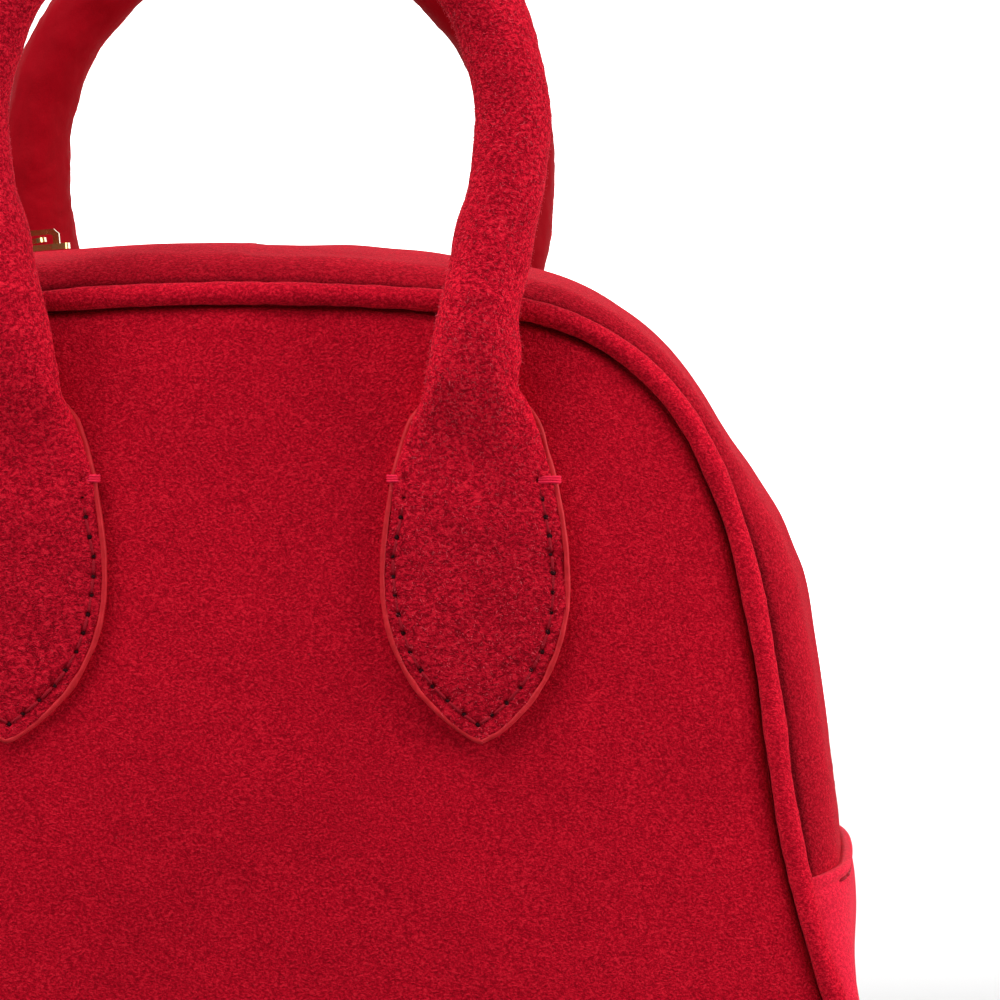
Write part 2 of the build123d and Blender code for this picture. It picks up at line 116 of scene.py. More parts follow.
def inside_distance(x, z):
    """Signed distance to the panel's outline, positive inside; arrays."""
    x, z = np.asarray(x, float), np.asarray(z, float)
    shape = x.shape
    p = np.stack([x.ravel(), z.ravel()], -1)
    a = np.stack([LX, LZ], -1)
    b = np.roll(a, -1, 0)
    d = b - a
    best = np.full(len(p), 1e9)
    inside = np.zeros(len(p), bool)
    for i in range(0, len(p), 4000):
        q = p[i:i + 4000]
        w = q[:, None, :] - a[None]
        t = np.clip((w * d).sum(-1) / (d * d).sum(-1), 0, 1)
        best[i:i + 4000] = np.sqrt(((w - t[..., None] * d) ** 2).sum(-1)).min(1)
        cross = (a[None, :, 1] > q[:, 1:2]) != (b[None, :, 1] > q[:, 1:2])
        with np.errstate(divide="ignore", invalid="ignore"):
            xi = d[None, :, 0] * (q[:, 1:2] - a[None, :, 1]) / d[None, :, 1] + a[None, :, 0]
        inside[i:i + 4000] = (np.logical_and(cross, q[:, 0:1] < xi).sum(1) % 2) == 1
    return np.where(inside, best, -best).reshape(shape)


# --------------------------------------------------------------- smooth noise
def field(points, size, seed, terms=28):
    """Smooth random field of about unit amplitude with features of that size in mm."""
    rng = np.random.default_rng(seed)
    w = rng.normal(size=(terms, 3))
    w /= np.linalg.norm(w, axis=1)[:, None]
    w *= (2 * math.pi / size) * rng.uniform(0.6, 1.5, size=(terms, 1))
    phase = rng.uniform(0, 2 * math.pi, terms)
    p = np.asarray(points).reshape(-1, 3)
    out = np.cos(p @ w.T + phase).sum(1) * math.sqrt(2.0 / terms)
    return out.reshape(np.shape(points)[:-1])


def smoothstep(a, b, x):
    t = np.clip((np.asarray(x, float) - a) / (b - a), 0, 1)
    return t * t * (3 - 2 * t)


# --------------------------------------------------------------------- meshes
def link(ob):
    bpy.context.scene.collection.objects.link(ob)
    return ob


def mesh(name, verts, faces, material, smooth=True):
    me = bpy.data.meshes.new(name)
    me.from_pydata((np.asarray(verts, float) * MM).tolist(), [], faces)
    me.validate()
    if smooth:
        me.shade_smooth()
    me.materials.append(material)
    me.update()
    return link(bpy.data.objects.new(name, me))


def grid_faces(nu, nv, close_u=False, close_v=False, base=0, flip=False):
    i = np.arange(nu if close_u else nu - 1)
    j = np.arange(nv if close_v else nv - 1)
    I, J = np.meshgrid(i, j, indexing="ij")
    I2, J2 = (I + 1) % nu, (J + 1) % nv
    q = np.stack([I * nv + J, I2 * nv + J, I2 * nv + J2, I * nv + J2], -1).reshape(-1, 4) + base
    if flip:
        q = q[:, ::-1]
    return q.tolist()


class Soup:
    """Several closed pieces gathered into one mesh."""

    def __init__(self):
        self.v, self.f, self.n = [], [], 0

    def add(self, verts, faces):
        verts = np.asarray(verts, float).reshape(-1, 3)
        self.v.append(verts)
        self.f += [[k + self.n for k in f] for f in faces]
        self.n += len(verts)

    def tube(self, path, radii, sides=10, cap=True, flat=None, up=(0, 1, 0)):
        """A tube along points; flat scales it across the second direction."""
        path = np.asarray(path, float)
        n = len(path)
        t = np.gradient(path, axis=0)
        t /= np.linalg.norm(t, axis=1)[:, None]
        u = np.asarray(up, float)
        a = np.cross(t, u)
        bad = np.linalg.norm(a, axis=1) < 1e-6
        a[bad] = np.cross(t[bad], (1.0, 0.3, 0.1))
        a /= np.linalg.norm(a, axis=1)[:, None]
        b = np.cross(a, t)
        ang = np.arange(sides) * 2 * math.pi / sides
        r = np.broadcast_to(radii, (n,)) if np.ndim(radii) < 2 else radii
        fl = 1.0 if flat is None else flat
        pts = path[:, None] + r[:, None, None] * (np.cos(ang)[None, :, None] * a[:, None] + fl * np.sin(ang)[None, :, None] * b[:, None])
        faces = grid_faces(n, sides, close_v=True)
        if cap:
            faces += [list(range(sides)), [(n - 1) * sides + k for k in reversed(range(sides))]]
        self.add(pts, faces)

    def mesh(self, name, material, smooth=True):
        return mesh(name, np.vstack(self.v), self.f, material, smooth)


def closed_sheet(name, outer, inner, material):
    """A closed shell between two grids of the same shape, open edges joined."""
    nu, nv = outer.shape[:2]
    n = nu * nv
    faces = grid_faces(nu, nv) + grid_faces(nu, nv, base=n, flip=True)
    rim = [(i, 0) for i in range(nu)] + [(nu - 1, j) for j in range(1, nv)] + \
          [(i, nv - 1) for i in range(nu - 2, -1, -1)] + [(0, j) for j in range(nv - 2, 0, -1)]
    idx = [i * nv + j for i, j in rim]
    for k in range(len(idx)):
        a, b = idx[k], idx[(k + 1) % len(idx)]
        faces.append([b, a, a + n, b + n])
    return mesh(name, np.vstack([outer.reshape(-1, 3), inner.reshape(-1, 3)]), faces, material)


# ------------------------------------------------------------------ materials
def srgb(r, g, b):
    return tuple(((c / 255) / 12.92 if c / 255 <= 0.04045 else ((c / 255 + 0.055) / 1.055) ** 2.4) for c in (r, g, b)) + (1.0,)


class Nodes:
    def __init__(self, name):
        self.m = bpy.data.materials.new(name)
        self.m.use_nodes = True
        self.t = self.m.node_tree
        self.bsdf = next(n for n in self.t.nodes if n.type == "BSDF_PRINCIPLED")
        self.coord = self.t.nodes.new("ShaderNodeTexCoord").outputs["Object"]

    def link(self, a, b):
        self.t.links.new(a, b)

    def noise(self, size_mm, detail=3.0, rough=0.55, distortion=0.0, vector=None):
        n = self.t.nodes.new("ShaderNodeTexNoise")
        n.inputs["Scale"].default_value = 1000.0 / size_mm
        n.inputs["Detail"].default_value = detail
        n.inputs["Roughness"].default_value = rough
        n.inputs["Distortion"].default_value = distortion
        self.link(vector or self.coord, n.inputs["Vector"])
        return n.outputs["Fac"]

    def ramp(self, fac, stops):
        r = self.t.nodes.new("ShaderNodeValToRGB")
        r.color_ramp.interpolation = "LINEAR"
        while len(r.color_ramp.elements) < len(stops):
            r.color_ramp.elements.new(0.5)
        for e, (p, c) in zip(r.color_ramp.elements, stops):
            e.position, e.color = p, c
        self.link(fac, r.inputs["Fac"])
        return r.outputs["Color"]

    def math(self, op, a, b=None, clamp=False):
        n = self.t.nodes.new("ShaderNodeMath")
        n.operation = op
        n.use_clamp = clamp
        for k, v in enumerate((a, b)):
            if v is None:
                continue
            if isinstance(v, (int, float)):
                n.inputs[k].default_value = v
            else:
                self.link(v, n.inputs[k])
        return n.outputs[0]

    def mix(self, fac, a, b, blend="MIX"):
        n = self.t.nodes.new("ShaderNodeMix")
        n.data_type = "RGBA"
        n.blend_type = blend
        for sock, v in ((n.inputs[0], fac), (n.inputs[6], a), (n.inputs[7], b)):
            if isinstance(v, (int, float)):
                sock.default_value = v
            elif isinstance(v, tuple):
                sock.default_value = v
            else:
                self.link(v, sock)
        return n.outputs[2]

    def bump(self, height, strength, distance_mm, normal=None):
        n = self.t.nodes.new("ShaderNodeBump")
        n.inputs["Strength"].default_value = strength
        n.inputs["Distance"].default_value = distance_mm * MM
        self.link(height, n.inputs["Height"])
        if normal is not None:
            self.link(normal, n.inputs["Normal"])
        return n.outputs["Normal"]

    def set(self, **kw):
        for k, v in kw.items():
            sock = self.bsdf.inputs[k.replace("_", " ")]
            if isinstance(v, (int, float, tuple)):
                sock.default_value = v
            else:
                self.link(v, sock)
        return self.m


def suede(name, tone, nap=0.8, depth=0.3, sheen=0.05, contrast=1.0, drift=0.1, smooth_side=None, curl=0.0, crease_shade=False, lie=None):
    """Napped leather: short fibres lying in small tufts, darker between them; optionally with painted shade near the
    welt seam and painted light and shade by height.
    """
    n = Nodes(name)
    base = srgb(*tone)
    lo = tuple(c * (1 - 0.78 * contrast) for c in base[:3]) + (1.0,)
    hi = tuple(min(1.0, c * (1 + 0.55 * contrast) + 0.012 * contrast) for c in base[:3]) + (1.0,)
    stretch = n.t.nodes.new("ShaderNodeMapping")
    stretch.inputs["Rotation"].default_value = (0.0, math.radians(25), 0.0)
    stretch.inputs["Scale"].default_value = (0.85, 1.0, 1.1)
    n.link(n.coord, stretch.inputs["Vector"])
    vec = stretch.outputs[0]
    tuft = n.noise(nap, 2.0, 0.55, 0.2 + curl, vec)
    fine = n.noise(nap * 0.36, 2.0, 0.6, 0.2, vec)
    ridge = n.math("MULTIPLY", n.math("ABSOLUTE", n.math("SUBTRACT", n.noise(nap * 1.5, 2.0, 0.55, 0.3 + curl, vec), 0.5)), 3.4, clamp=True)
    mixf = n.math("ADD", n.math("ADD", n.math("MULTIPLY", tuft, 0.50), n.math("MULTIPLY", fine, 0.34)), n.math("MULTIPLY", ridge, 0.26))
    col = n.ramp(mixf, [(0.38, lo), (0.485, base), (0.60, hi)])
    cloud = n.noise(34.0, 3.0, 0.5)
    shade = n.t.nodes.new("ShaderNodeMapRange")
    shade.inputs["From Min"].default_value = 0.3
    shade.inputs["From Max"].default_value = 0.7
    shade.inputs["To Min"].default_value = 1.0 - drift
    shade.inputs["To Max"].default_value = 1.0 + drift
    n.link(cloud, shade.inputs["Value"])
    brush = n.noise(7.0, 3.0, 0.55, 0.8)
    shade2 = n.t.nodes.new("ShaderNodeMapRange")
    shade2.inputs["From Min"].default_value = 0.3
    shade2.inputs["From Max"].default_value = 0.7
    shade2.inputs["To Min"].default_value = 1.0 - drift * 0.8
    shade2.inputs["To Max"].default_value = 1.0 + drift * 0.8
    n.link(brush, shade2.inputs["Value"])
    both = n.math("MULTIPLY", shade.outputs[0], shade2.outputs[0])
    scale = n.t.nodes.new("ShaderNodeVectorMath")
    scale.operation = "SCALE"
    n.link(col, scale.inputs[0])
    n.link(both, scale.inputs["Scale"])
    col = scale.outputs[0]
    fibre = n.math("GREATER_THAN", n.noise(nap * 0.6, 1.0, 0.5, 1.0), 0.735)
    col = n.mix(n.math("MULTIPLY", fibre, 0.30 * contrast), col, srgb(232, 110, 118))
    where = n.t.nodes.new("ShaderNodeSeparateXYZ")
    n.link(n.coord, where.inputs[0])
    if crease_shade:
        # painted shade: the colour is darkened where the gusset turns down to the welt, gently over the last 6 mm of
        # depth before the seam and strongly in the last millimetre
        depth_y = n.math("ABSOLUTE", where.outputs["Y"])
        wide = n.math("MULTIPLY", n.math("SUBTRACT", depth_y, 50.5 * MM), 1.0 / (6.0 * MM), clamp=True)
        near = n.math("MULTIPLY", n.math("SUBTRACT", depth_y, 55.6 * MM), 1.0 / (0.9 * MM), clamp=True)
        shade3 = n.math("MULTIPLY", n.math("SUBTRACT", 1.0, n.math("MULTIPLY", wide, 0.26)), n.math("SUBTRACT", 1.0, n.math("MULTIPLY", near, 0.55)))
        dark = n.t.nodes.new("ShaderNodeVectorMath")
        dark.operation = "SCALE"
        n.link(col, dark.inputs[0])
        n.link(shade3, dark.inputs["Scale"])
        col = dark.outputs[0]
    if lie is not None:
        # painted light and shade by height: the handle is painted darker on the lower tab, lighter up the neck and a
        # little less light on the roll above, for the light falling differently there
        low, high_z, top_gain = lie
        up_z = n.math("MULTIPLY", n.math("SUBTRACT", where.outputs["Z"], low), 1.0 / (high_z - low), clamp=True)
        off_z = n.math("MULTIPLY", n.math("SUBTRACT", where.outputs["Z"], 0.204), 1.0 / 0.016, clamp=True)
        gain = n.math("SUBTRACT", n.math("ADD", 0.86, n.math("MULTIPLY", up_z, top_gain)), n.math("MULTIPLY", off_z, top_gain - 0.20))
        lift = n.t.nodes.new("ShaderNodeVectorMath")
        lift.operation = "SCALE"
        n.link(col, lift.inputs[0])
        n.link(gain, lift.inputs["Scale"])
        col = lift.outputs[0]
    rough = 0.95
    height = mixf
    strength = 0.9
    if smooth_side is not None:
        # the inner side of each roll is smooth leather, with a soft border
        sep = n.t.nodes.new("ShaderNodeSeparateXYZ")
        n.link(n.coord, sep.inputs[0])
        start, sign = smooth_side
        side = n.math("MULTIPLY", n.math("SUBTRACT", n.math("MULTIPLY", sep.outputs["Y"], float(sign)), start * MM), 1.0 / (0.5 * MM), clamp=True)
        high = n.math("MULTIPLY", n.math("SUBTRACT", sep.outputs["Z"], 0.198), 1.0 / 0.004, clamp=True)
        side = n.math("MULTIPLY", side, high)
        plain = n.mix(n.noise(3.0, 3.0, 0.5), srgb(132, 2, 15), srgb(146, 3, 19))
        col = n.mix(side, col, plain)
        rough_map = n.t.nodes.new("ShaderNodeMapRange")
        rough_map.inputs["To Min"].default_value = 0.95
        rough_map.inputs["To Max"].default_value = 0.7
        n.link(side, rough_map.inputs["Value"])
        rough = rough_map.outputs[0]
        keep = n.math("SUBTRACT", 1.0, n.math("MULTIPLY", side, 0.93))
        height = n.math("MULTIPLY", mixf, keep)
    normal = n.bump(height, strength, depth)
    m = n.set(Base_Color=col, Roughness=rough, Normal=normal)
    n.bsdf.inputs["Sheen Weight"].default_value = sheen
    n.bsdf.inputs["Sheen Roughness"].default_value = 0.35
    n.bsdf.inputs["Sheen Tint"].default_value = srgb(255, 140, 148)
    n.bsdf.inputs["Specular IOR Level"].default_value = 0.04
    return m


# One suede, with tones that differ by part as painted light and shade: the base gusset is painted lighter and pinker
# for the light from the right, the welt lighter, and the top gusset a little darker than the panel.
PANEL = suede("suede_panel", (190, 10, 35), nap=0.55, depth=0.8, sheen=0.03, contrast=0.55, drift=0.05)
TOP = suede("suede_top", (184, 11, 35), nap=0.58, depth=0.8, sheen=0.07, contrast=0.55, drift=0.05, crease_shade=True)
BASE = suede("suede_base", (226, 35, 61), nap=0.6, depth=0.5, sheen=0.36, contrast=0.32, drift=0.04)
WELT = suede("suede_welt", (204, 15, 41), nap=0.58, depth=0.8, sheen=0.08, contrast=0.55, drift=0.05)
# both handle suedes carry painted light and shade by height on tab, neck and roll
HANDLE_F = suede("suede_handle_front", (198, 14, 40), nap=0.8, depth=1.5, sheen=0.03, contrast=0.64, drift=0.06, smooth_side=(-71.5 + 0.7, 1), curl=0.1, lie=(0.150, 0.178, 0.40))
HANDLE_R = suede("suede_handle_rear", (198, 14, 40), nap=0.8, depth=1.5, sheen=0.03, contrast=0.64, drift=0.06, smooth_side=(-71.5 + 0.7, -1), curl=0.1, lie=(0.150, 0.178, 0.40))


def edge_paint():
    n = Nodes("painted_edge")
    streak = n.noise(2.2, 4.0, 0.6, 0.3)
    col = n.ramp(streak, [(0.3, srgb(172, 12, 24)), (0.55, srgb(192, 20, 34)), (0.75, srgb(208, 38, 48))])
    m = n.set(Base_Color=col, Roughness=0.55, Normal=n.bump(n.noise(0.7, 3.0, 0.6), 0.35, 0.12))
    n.bsdf.inputs["Specular IOR Level"].default_value = 0.25
    return m


def fibre_material():
    n = Nodes("loose_fibre")
    n.bsdf.inputs["Specular IOR Level"].default_value = 0.1
    return n.set(Base_Color=n.mix(n.noise(1.5, 2.0), srgb(208, 30, 54), srgb(238, 100, 114)), Roughness=0.8)


def thread_material(name, a, b):
    n = Nodes(name)
    twist = n.noise(0.35, 2.0, 0.5)
    n.bsdf.inputs["Specular IOR Level"].default_value = 0.15
    return n.set(Base_Color=n.mix(twist, a, b), Roughness=0.75, Normal=n.bump(twist, 0.8, 0.15))


def weave(name, a, b, pitch=0.5, rough=0.85):
    n = Nodes(name)
    w1 = n.t.nodes.new("ShaderNodeTexWave")
    w1.bands_direction = "Y"
    w1.inputs["Scale"].default_value = 1000.0 / pitch / 20.0
    w1.inputs["Distortion"].default_value = 0.6
    n.link(n.coord, w1.inputs["Vector"])
    w2 = n.t.nodes.new("ShaderNodeTexWave")
    w2.bands_direction = "DIAGONAL"
    w2.inputs["Scale"].default_value = 1000.0 / pitch / 20.0
    w2.inputs["Distortion"].default_value = 0.6
    n.link(n.coord, w2.inputs["Vector"])
    h = n.math("MULTIPLY", w1.outputs["Fac"], w2.outputs["Fac"])
    col = n.mix(n.math("ADD", n.math("MULTIPLY", h, 0.7), n.math("MULTIPLY", n.noise(4.0), 0.3)), a, b)
    return n.set(Base_Color=col, Roughness=rough, Normal=n.bump(h, 0.6, 0.15))


def smooth_leather(name, a, b, rough=0.5, grain=1.1):
    n = Nodes(name)
    v = n.t.nodes.new("ShaderNodeTexVoronoi")
    v.inputs["Scale"].default_value = 1000.0 / grain
    n.link(n.coord, v.inputs["Vector"])
    col = n.mix(n.noise(6.0, 4.0), a, b)
    return n.set(Base_Color=col, Roughness=rough, Normal=n.bump(v.outputs["Distance"], 0.35, 0.12))


def metal(name, colour, rough=0.22):
    n = Nodes(name)
    wear = n.noise(1.6, 4.0, 0.6)
    col = n.mix(wear, colour, tuple(c * 0.82 for c in colour[:3]) + (1.0,))
    rr = n.t.nodes.new("ShaderNodeMapRange")
    rr.inputs["To Min"].default_value = rough * 0.7
    rr.inputs["To Max"].default_value = rough * 1.5
    n.link(wear, rr.inputs["Value"])
    m = n.set(Base_Color=col, Roughness=rr.outputs[0], Normal=n.bump(n.noise(0.25, 2.0), 0.08, 0.05))
    n.bsdf.inputs["Metallic"].default_value = 1.0
    return m


EDGE_PAINT = edge_paint()
FIBRE = fibre_material()
THREAD = thread_material("thread_red", srgb(120, 4, 20), srgb(168, 12, 36))
TACK = thread_material("thread_tack", srgb(214, 8, 46), srgb(240, 40, 80))
# near-black colour for the discs in the stitch holes: painted shade
HOLE = thread_material("stitch_hole", srgb(30, 0, 5), srgb(58, 0, 10))
TAPE = weave("zip_tape_weave", srgb(120, 8, 20), srgb(158, 18, 34), 0.45)
COIL = smooth_leather("nylon_coil", srgb(128, 10, 24), srgb(160, 20, 38), rough=0.35, grain=0.8)
LINING = weave("lining_twill", srgb(96, 14, 24), srgb(132, 26, 38), 0.6)
CORD = weave("cotton_cord", srgb(188, 178, 158), srgb(222, 214, 196), 0.7)
BOARD = smooth_leather("board", srgb(38, 36, 36), srgb(54, 52, 50), rough=0.8, grain=1.6)
FELT = weave("stiffener_felt", srgb(196, 190, 178), srgb(222, 218, 208), 0.9)
SPLIT = suede("split_leather", (140, 40, 44), nap=1.2, depth=0.3, sheen=0.0, contrast=0.4)
BRASS = metal("light_gold", srgb(212, 176, 112))
PULL = smooth_leather("pull_leather", srgb(146, 12, 28), srgb(172, 20, 38), rough=0.46)

for node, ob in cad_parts.items():
    if "lining" in node:
        m = LINING
    elif "cord" in node or "core" in node:
        m = CORD
    elif "stiffener" in node:
        m = FELT
    elif node == "base_board":
        m = BOARD
    elif "patches" in node:
        m = SPLIT
    elif "tape" in node:
        m = TAPE
    elif "coil" in node:
        m = COIL
    elif node in ("zip_slider", "zip_puller"):
        m = BRASS
    elif node == "zip_pull_tab":
        m = PULL
    elif "stitch" in node:
        m = THREAD
    elif "backing" in node:
        m = EDGE_PAINT
    elif node == "base_gusset":
        m = BASE
    elif "piping" in node:
        m = WELT
    elif "gusset" in node:
        m = TOP
    elif "handle" in node:
        m = HANDLE_F
    else:
        m = PANEL
    if not ob.data.materials:
        ob.data.materials.append(m)
    for k in range(len(ob.material_slots)):
        ob.material_slots[k].link = "OBJECT"
        ob.material_slots[k].material = m

# ------------------------------------------------------------------ front panel
CROWN, SOFT = 8.0, 26.0


def panel_depth(x, z, rear=False):
    """How far the panel stands in front of the seam plane."""
    d = inside_distance(x, z)
    dd = np.maximum(d, 0)
    p = (CROWN - 0.9) * (1 - np.exp(-dd / SOFT)) + 0.9 * (1 - np.exp(-dd / 2.2))
    pts = np.stack([x, np.full_like(x, 400.0 if rear else 0.0), z], -1)
    soft = smoothstep(2, 30, d)
    p = p + soft * (0.34 * field(pts, 95, 3) + 0.10 * field(pts, 38, 5))
    # slight drag between the two handle tabs, where the weight hangs
    p = p - soft * 0.5 * np.exp(-((z - 186) / 16) ** 2) * np.exp(-((np.abs(x) - 49) / 18) ** 2)
    # near the base the panel is pushed out by the stiffener behind it
    stiff = (6.4 - (x * x + (z - 82.0) ** 2) / 2000.0) * smoothstep(0.2, 3.8, d)
    full = 0.5 * (p + stiff + np.sqrt((p - stiff) ** 2 + 0.3))
    p = p + (full - p) * (1 - smoothstep(40, 54, z)) * smoothstep(0.0, 1.5, d)
    return p, d


def make_panel(name, rear):
    n = len(loop)
    sel = loop
    rings = np.concatenate([np.linspace(0, 0.06, 10)[:-1], np.linspace(0.06, 0.985, 62)])
    cx, cz = 0.0, 100.0
    X = sel[:, 0][None, :] + (cx - sel[:, 0])[None, :] * rings[:, None]
    Z = sel[:, 1][None, :] + (cz - sel[:, 1])[None, :] * rings[:, None]
    p, d = panel_depth(X, Z, rear)
    Y = -(SEAM_Y + p)
    Y += 1.7 * np.clip(1 - np.maximum(d, 0) / 1.7, 0, 1) ** 2
    front = np.stack([X, Y, Z], -1)
    rim = front[0].copy()
    rim[:, 1] += 2.0
    verts = np.vstack([rim[None], front]).reshape(-1, 3)
    nr = len(rings) + 1
    faces = grid_faces(nr, n, close_v=True)
    centre = np.array([[cx, -(SEAM_Y + panel_depth(np.array([cx]), np.array([cz]), rear)[0][0]), cz]])
    last = (nr - 1) * n
    ci = len(verts)
    faces += [[last + k, ci, last + (k + 1) % n] for k in range(n)]
    verts = np.vstack([verts, centre])
    # inner face, closing the sheet
    back = verts.copy()
    back[:, 1] += 1.6
    back[:n] = verts[:n]
    m = len(verts)
    inner = [[i + m for i in reversed(f)] for f in faces]
    bridge = [[k, (k + 1) % n, (k + 1) % n + m, k + m] for k in range(n)]
    verts = np.vstack([verts, back])
    faces = faces + inner
    # the two rims coincide, so weld them
    remap = np.arange(len(verts))
    remap[m:m + n] = np.arange(n)
    faces = [[int(remap[i]) for i in f] for f in faces]
    if rear:
        verts[:, 1] *= -1
        faces = [f[::-1] for f in faces]
    ob = mesh(name, verts, faces, PANEL)
    import bmesh
    bm = bmesh.new()
    bm.from_mesh(ob.data)
    bmesh.ops.delete(bm, geom=[v for v in bm.verts if not v.link_faces], context="VERTS")
    bmesh.ops.recalc_face_normals(bm, faces=bm.faces)
    bm.to_mesh(ob.data)
    bm.free()
    return ob


for rear in (False, True):
    node = "back_panel" if rear else "front_panel"
    ob = make_panel("suede_" + node, rear)
    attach(ob, "bag")
    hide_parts(node)

# ------------------------------------------------------------------------ welts
for rear in (False, True):
    sgn = 1 if rear else -1
    t = loop
    h = np.radians(t[:, 2] + 90.0)
    cx = t[:, 0] + WELT_OFF * np.cos(h)
    cz = t[:, 1] + WELT_OFF * np.sin(h)
    centre = np.stack([cx, np.full(len(t), sgn * (SEAM_Y + 0.3)), cz], -1)
    wob = field(centre, 17, 21 + rear)
    r = WELT_R + 0.07 * wob + 0.05 * field(centre, 5, 31 + rear)
    centre[:, 1] += 0.18 * field(centre, 26, 41 + rear)
    sides = 20
    ang = np.arange(sides) * 2 * math.pi / sides
    out = np.stack([np.cos(h), np.zeros(len(h)), np.sin(h)], -1)
    dep = np.array([0, sgn, 0])
    pts = centre[:, None] + r[:, None, None] * (np.cos(ang)[None, :, None] * out[:, None] + np.sin(ang)[None, :, None] * dep)
    # the welt's skin runs back into the seam between panel and gusset
    faces = grid_faces(len(t), sides, close_u=True, close_v=True)
    ob = mesh("welt_rear" if rear else "welt_front", pts.reshape(-1, 3), faces, WELT)
    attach(ob, "bag")
    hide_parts("back_piping" if rear else "front_piping")

# ---------------------------------------------------------------------- gussets
CROWN_S = np.array([0.0, 31.0, 46.0, 64.4, 68.4, 72.6, 76.9, 81.5, 88.2, 94.2, 99.8, 104.0, 109.2, 114.2, 118.8, 123.4, 127.8,
                    132.0, 136.5, 145.0, 162.0, 170.6, 180.5, 189.6, 194.3, 203.0, 240.0])
CROWN_V = np.array([13.1, 12.7, 12.3, 11.2, 10.8, 10.3, 9.9, 9.6, 9.2, 8.8, 8.6, 8.6, 9.2, 10.6, 11.6, 12.9, 13.7,
                    14.3, 15.0, 15.0, 15.0, 15.3, 15.4, 14.9, 14.2, 13.0, 13.0])
LEFT_S = np.array([0.0, 31.0, 58.0, 64.4, 70.0, 76.0, 82.0, 88.2, 94.2, 99.8, 104.0, 109.2, 114.2, 118.8, 123.4, 127.8,
                   132.0, 136.5, 145.0, 162.0, 170.6, 180.5, 189.6, 194.3, 203.0, 240.0])
LEFT_V = np.array([13.5, 13.4, 13.3, 13.0, 12.2, 11.2, 10.2, 9.5, 9.0, 8.8, 8.9, 9.4, 10.5, 11.5, 12.7, 13.4,
                   13.9, 14.5, 14.4, 14.4, 14.6, 14.6, 14.1, 13.8, 13.4, 13.4])


def ease(x, xs, vs, width=6.0):
    xx = np.asarray(x, float)
    k = np.linspace(-1, 1, 9)
    w = 1 - k * k + 0.05
    return sum(wi * np.interp(xx + ki * width, xs, vs) for wi, ki in zip(w, k)) / w.sum()


def crown_up(s):
    return np.where(np.asarray(s) >= 0, ease(np.abs(s), CROWN_S, CROWN_V, 3.0), ease(np.abs(s), LEFT_S, LEFT_V, 3.0))


LOW_S = np.array([-12.0, 0.0, 5.0, 9.7, 14.2, 19.0, 23.7, 27.5, 32.0, 40.0, 50.0, 62.0, 400.0])
LOW_V = np.array([14.4, 13.9, 13.4, 12.4, 11.3, 9.9, 8.5, 7.4, 6.5, 6.1, 6.15, 6.2, 6.2])
PROUD = 1.9


def gusset_v(u, crown, power):
    width = np.clip(11.0 * (crown - EDGE) / 12.0, 5.0, 13.0)
    t = np.maximum(np.abs(u) - (GH - width), 0) / width
    rise = 3.4 * np.clip((crown - 6.0) / 6.0, 0, 1)
    return EDGE + (crown - EDGE - rise) * np.sqrt(np.maximum(1 - t * t, 0)) + rise * (1 - (u / GH) ** 2)


def top_strip(name, rear):
    s = up[:, 3] - up[-1, 3] / 2
    uu = np.concatenate([-GH + 13 * np.linspace(0, 1, 30) ** 2.0, np.linspace(-GH + 13, -6.4, 26)[1:], [-5.9, -5.4, -4.95, -4.65]])
    if rear:
        uu = -uu[::-1]
    U = np.broadcast_to(uu, (len(s), len(uu)))
    c = crown_up(s)[:, None]
    V = gusset_v(U, c, 3.6)
    pts = place(up, uu[None, :], V)
    soft = smoothstep(0, 14, GH - np.abs(U)) * smoothstep(3.5, 16, np.abs(U))
    V = V + soft * (0.22 * field(pts, 52, 61 + rear) + 0.09 * field(pts, 19, 65 + rear))
    # a soft dent on each shoulder, where the side starts to belly out
    dent = np.exp(-((np.abs(s) - 99) / 9.0) ** 2)[:, None] * np.exp(-((np.abs(U) - 40) / 22.0) ** 2)
    V = V - 0.9 * dent * soft
    roll = np.where(np.abs(U) < 5.9, 0.3 * ((5.9 - np.abs(U)) / 1.25) ** 2, 0.0)
    pts = place(up, uu[None, :], V - roll)
    inner = place(up, uu[None, :], V - 1.8 + 0.2 * (roll > 0))
    ob = closed_sheet(name, pts, inner, TOP)
    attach(ob, "bag")
    return ob


for rear in (False, True):
    node = "top_gusset_rear" if rear else "top_gusset_front"
    ob = top_strip("suede_" + node, rear)
    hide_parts(node)

LEAD = 14.0
long = arc_points(lap_state, [(-250.0, -1.7)] + LOWER + [(None, 2 * FLAT)] + list(reversed(LOWER)) + [(-250.0, -1.7)], 0.8)
# the path goes on a little above the lap at each end, still on the hollow of the side
lead = np.linspace(LEAD, 0.8, 18)
h0 = math.radians(lap_state[2])
head = np.array([(lap_state[0] + 250.0 * (math.sin(h0 - d / 250.0) - math.sin(h0)),
                  lap_state[1] - 250.0 * (math.cos(h0 - d / 250.0) - math.cos(h0)),
                  lap_state[2] - math.degrees(d / 250.0), -d) for d in lead])
tail = head[::-1] * (-1, 1, -1, -1) + (0, 0, -360, long[-1, 3])
track = np.vstack([head, long, tail])
TOTAL = long[-1, 3]
uu = np.concatenate([-GH + 13 * np.linspace(0, 1, 28) ** 2.0, np.linspace(-GH + 13, GH - 13, 50)[1:-1], GH - 13 * np.linspace(1, 0, 28) ** 2.0])


def edge_line(u):
    """How far down the side the folded edge lies: highest in the middle of the gusset."""
    return 0.8 - 1.8 * (1 - (np.abs(u) / GH) ** 2)


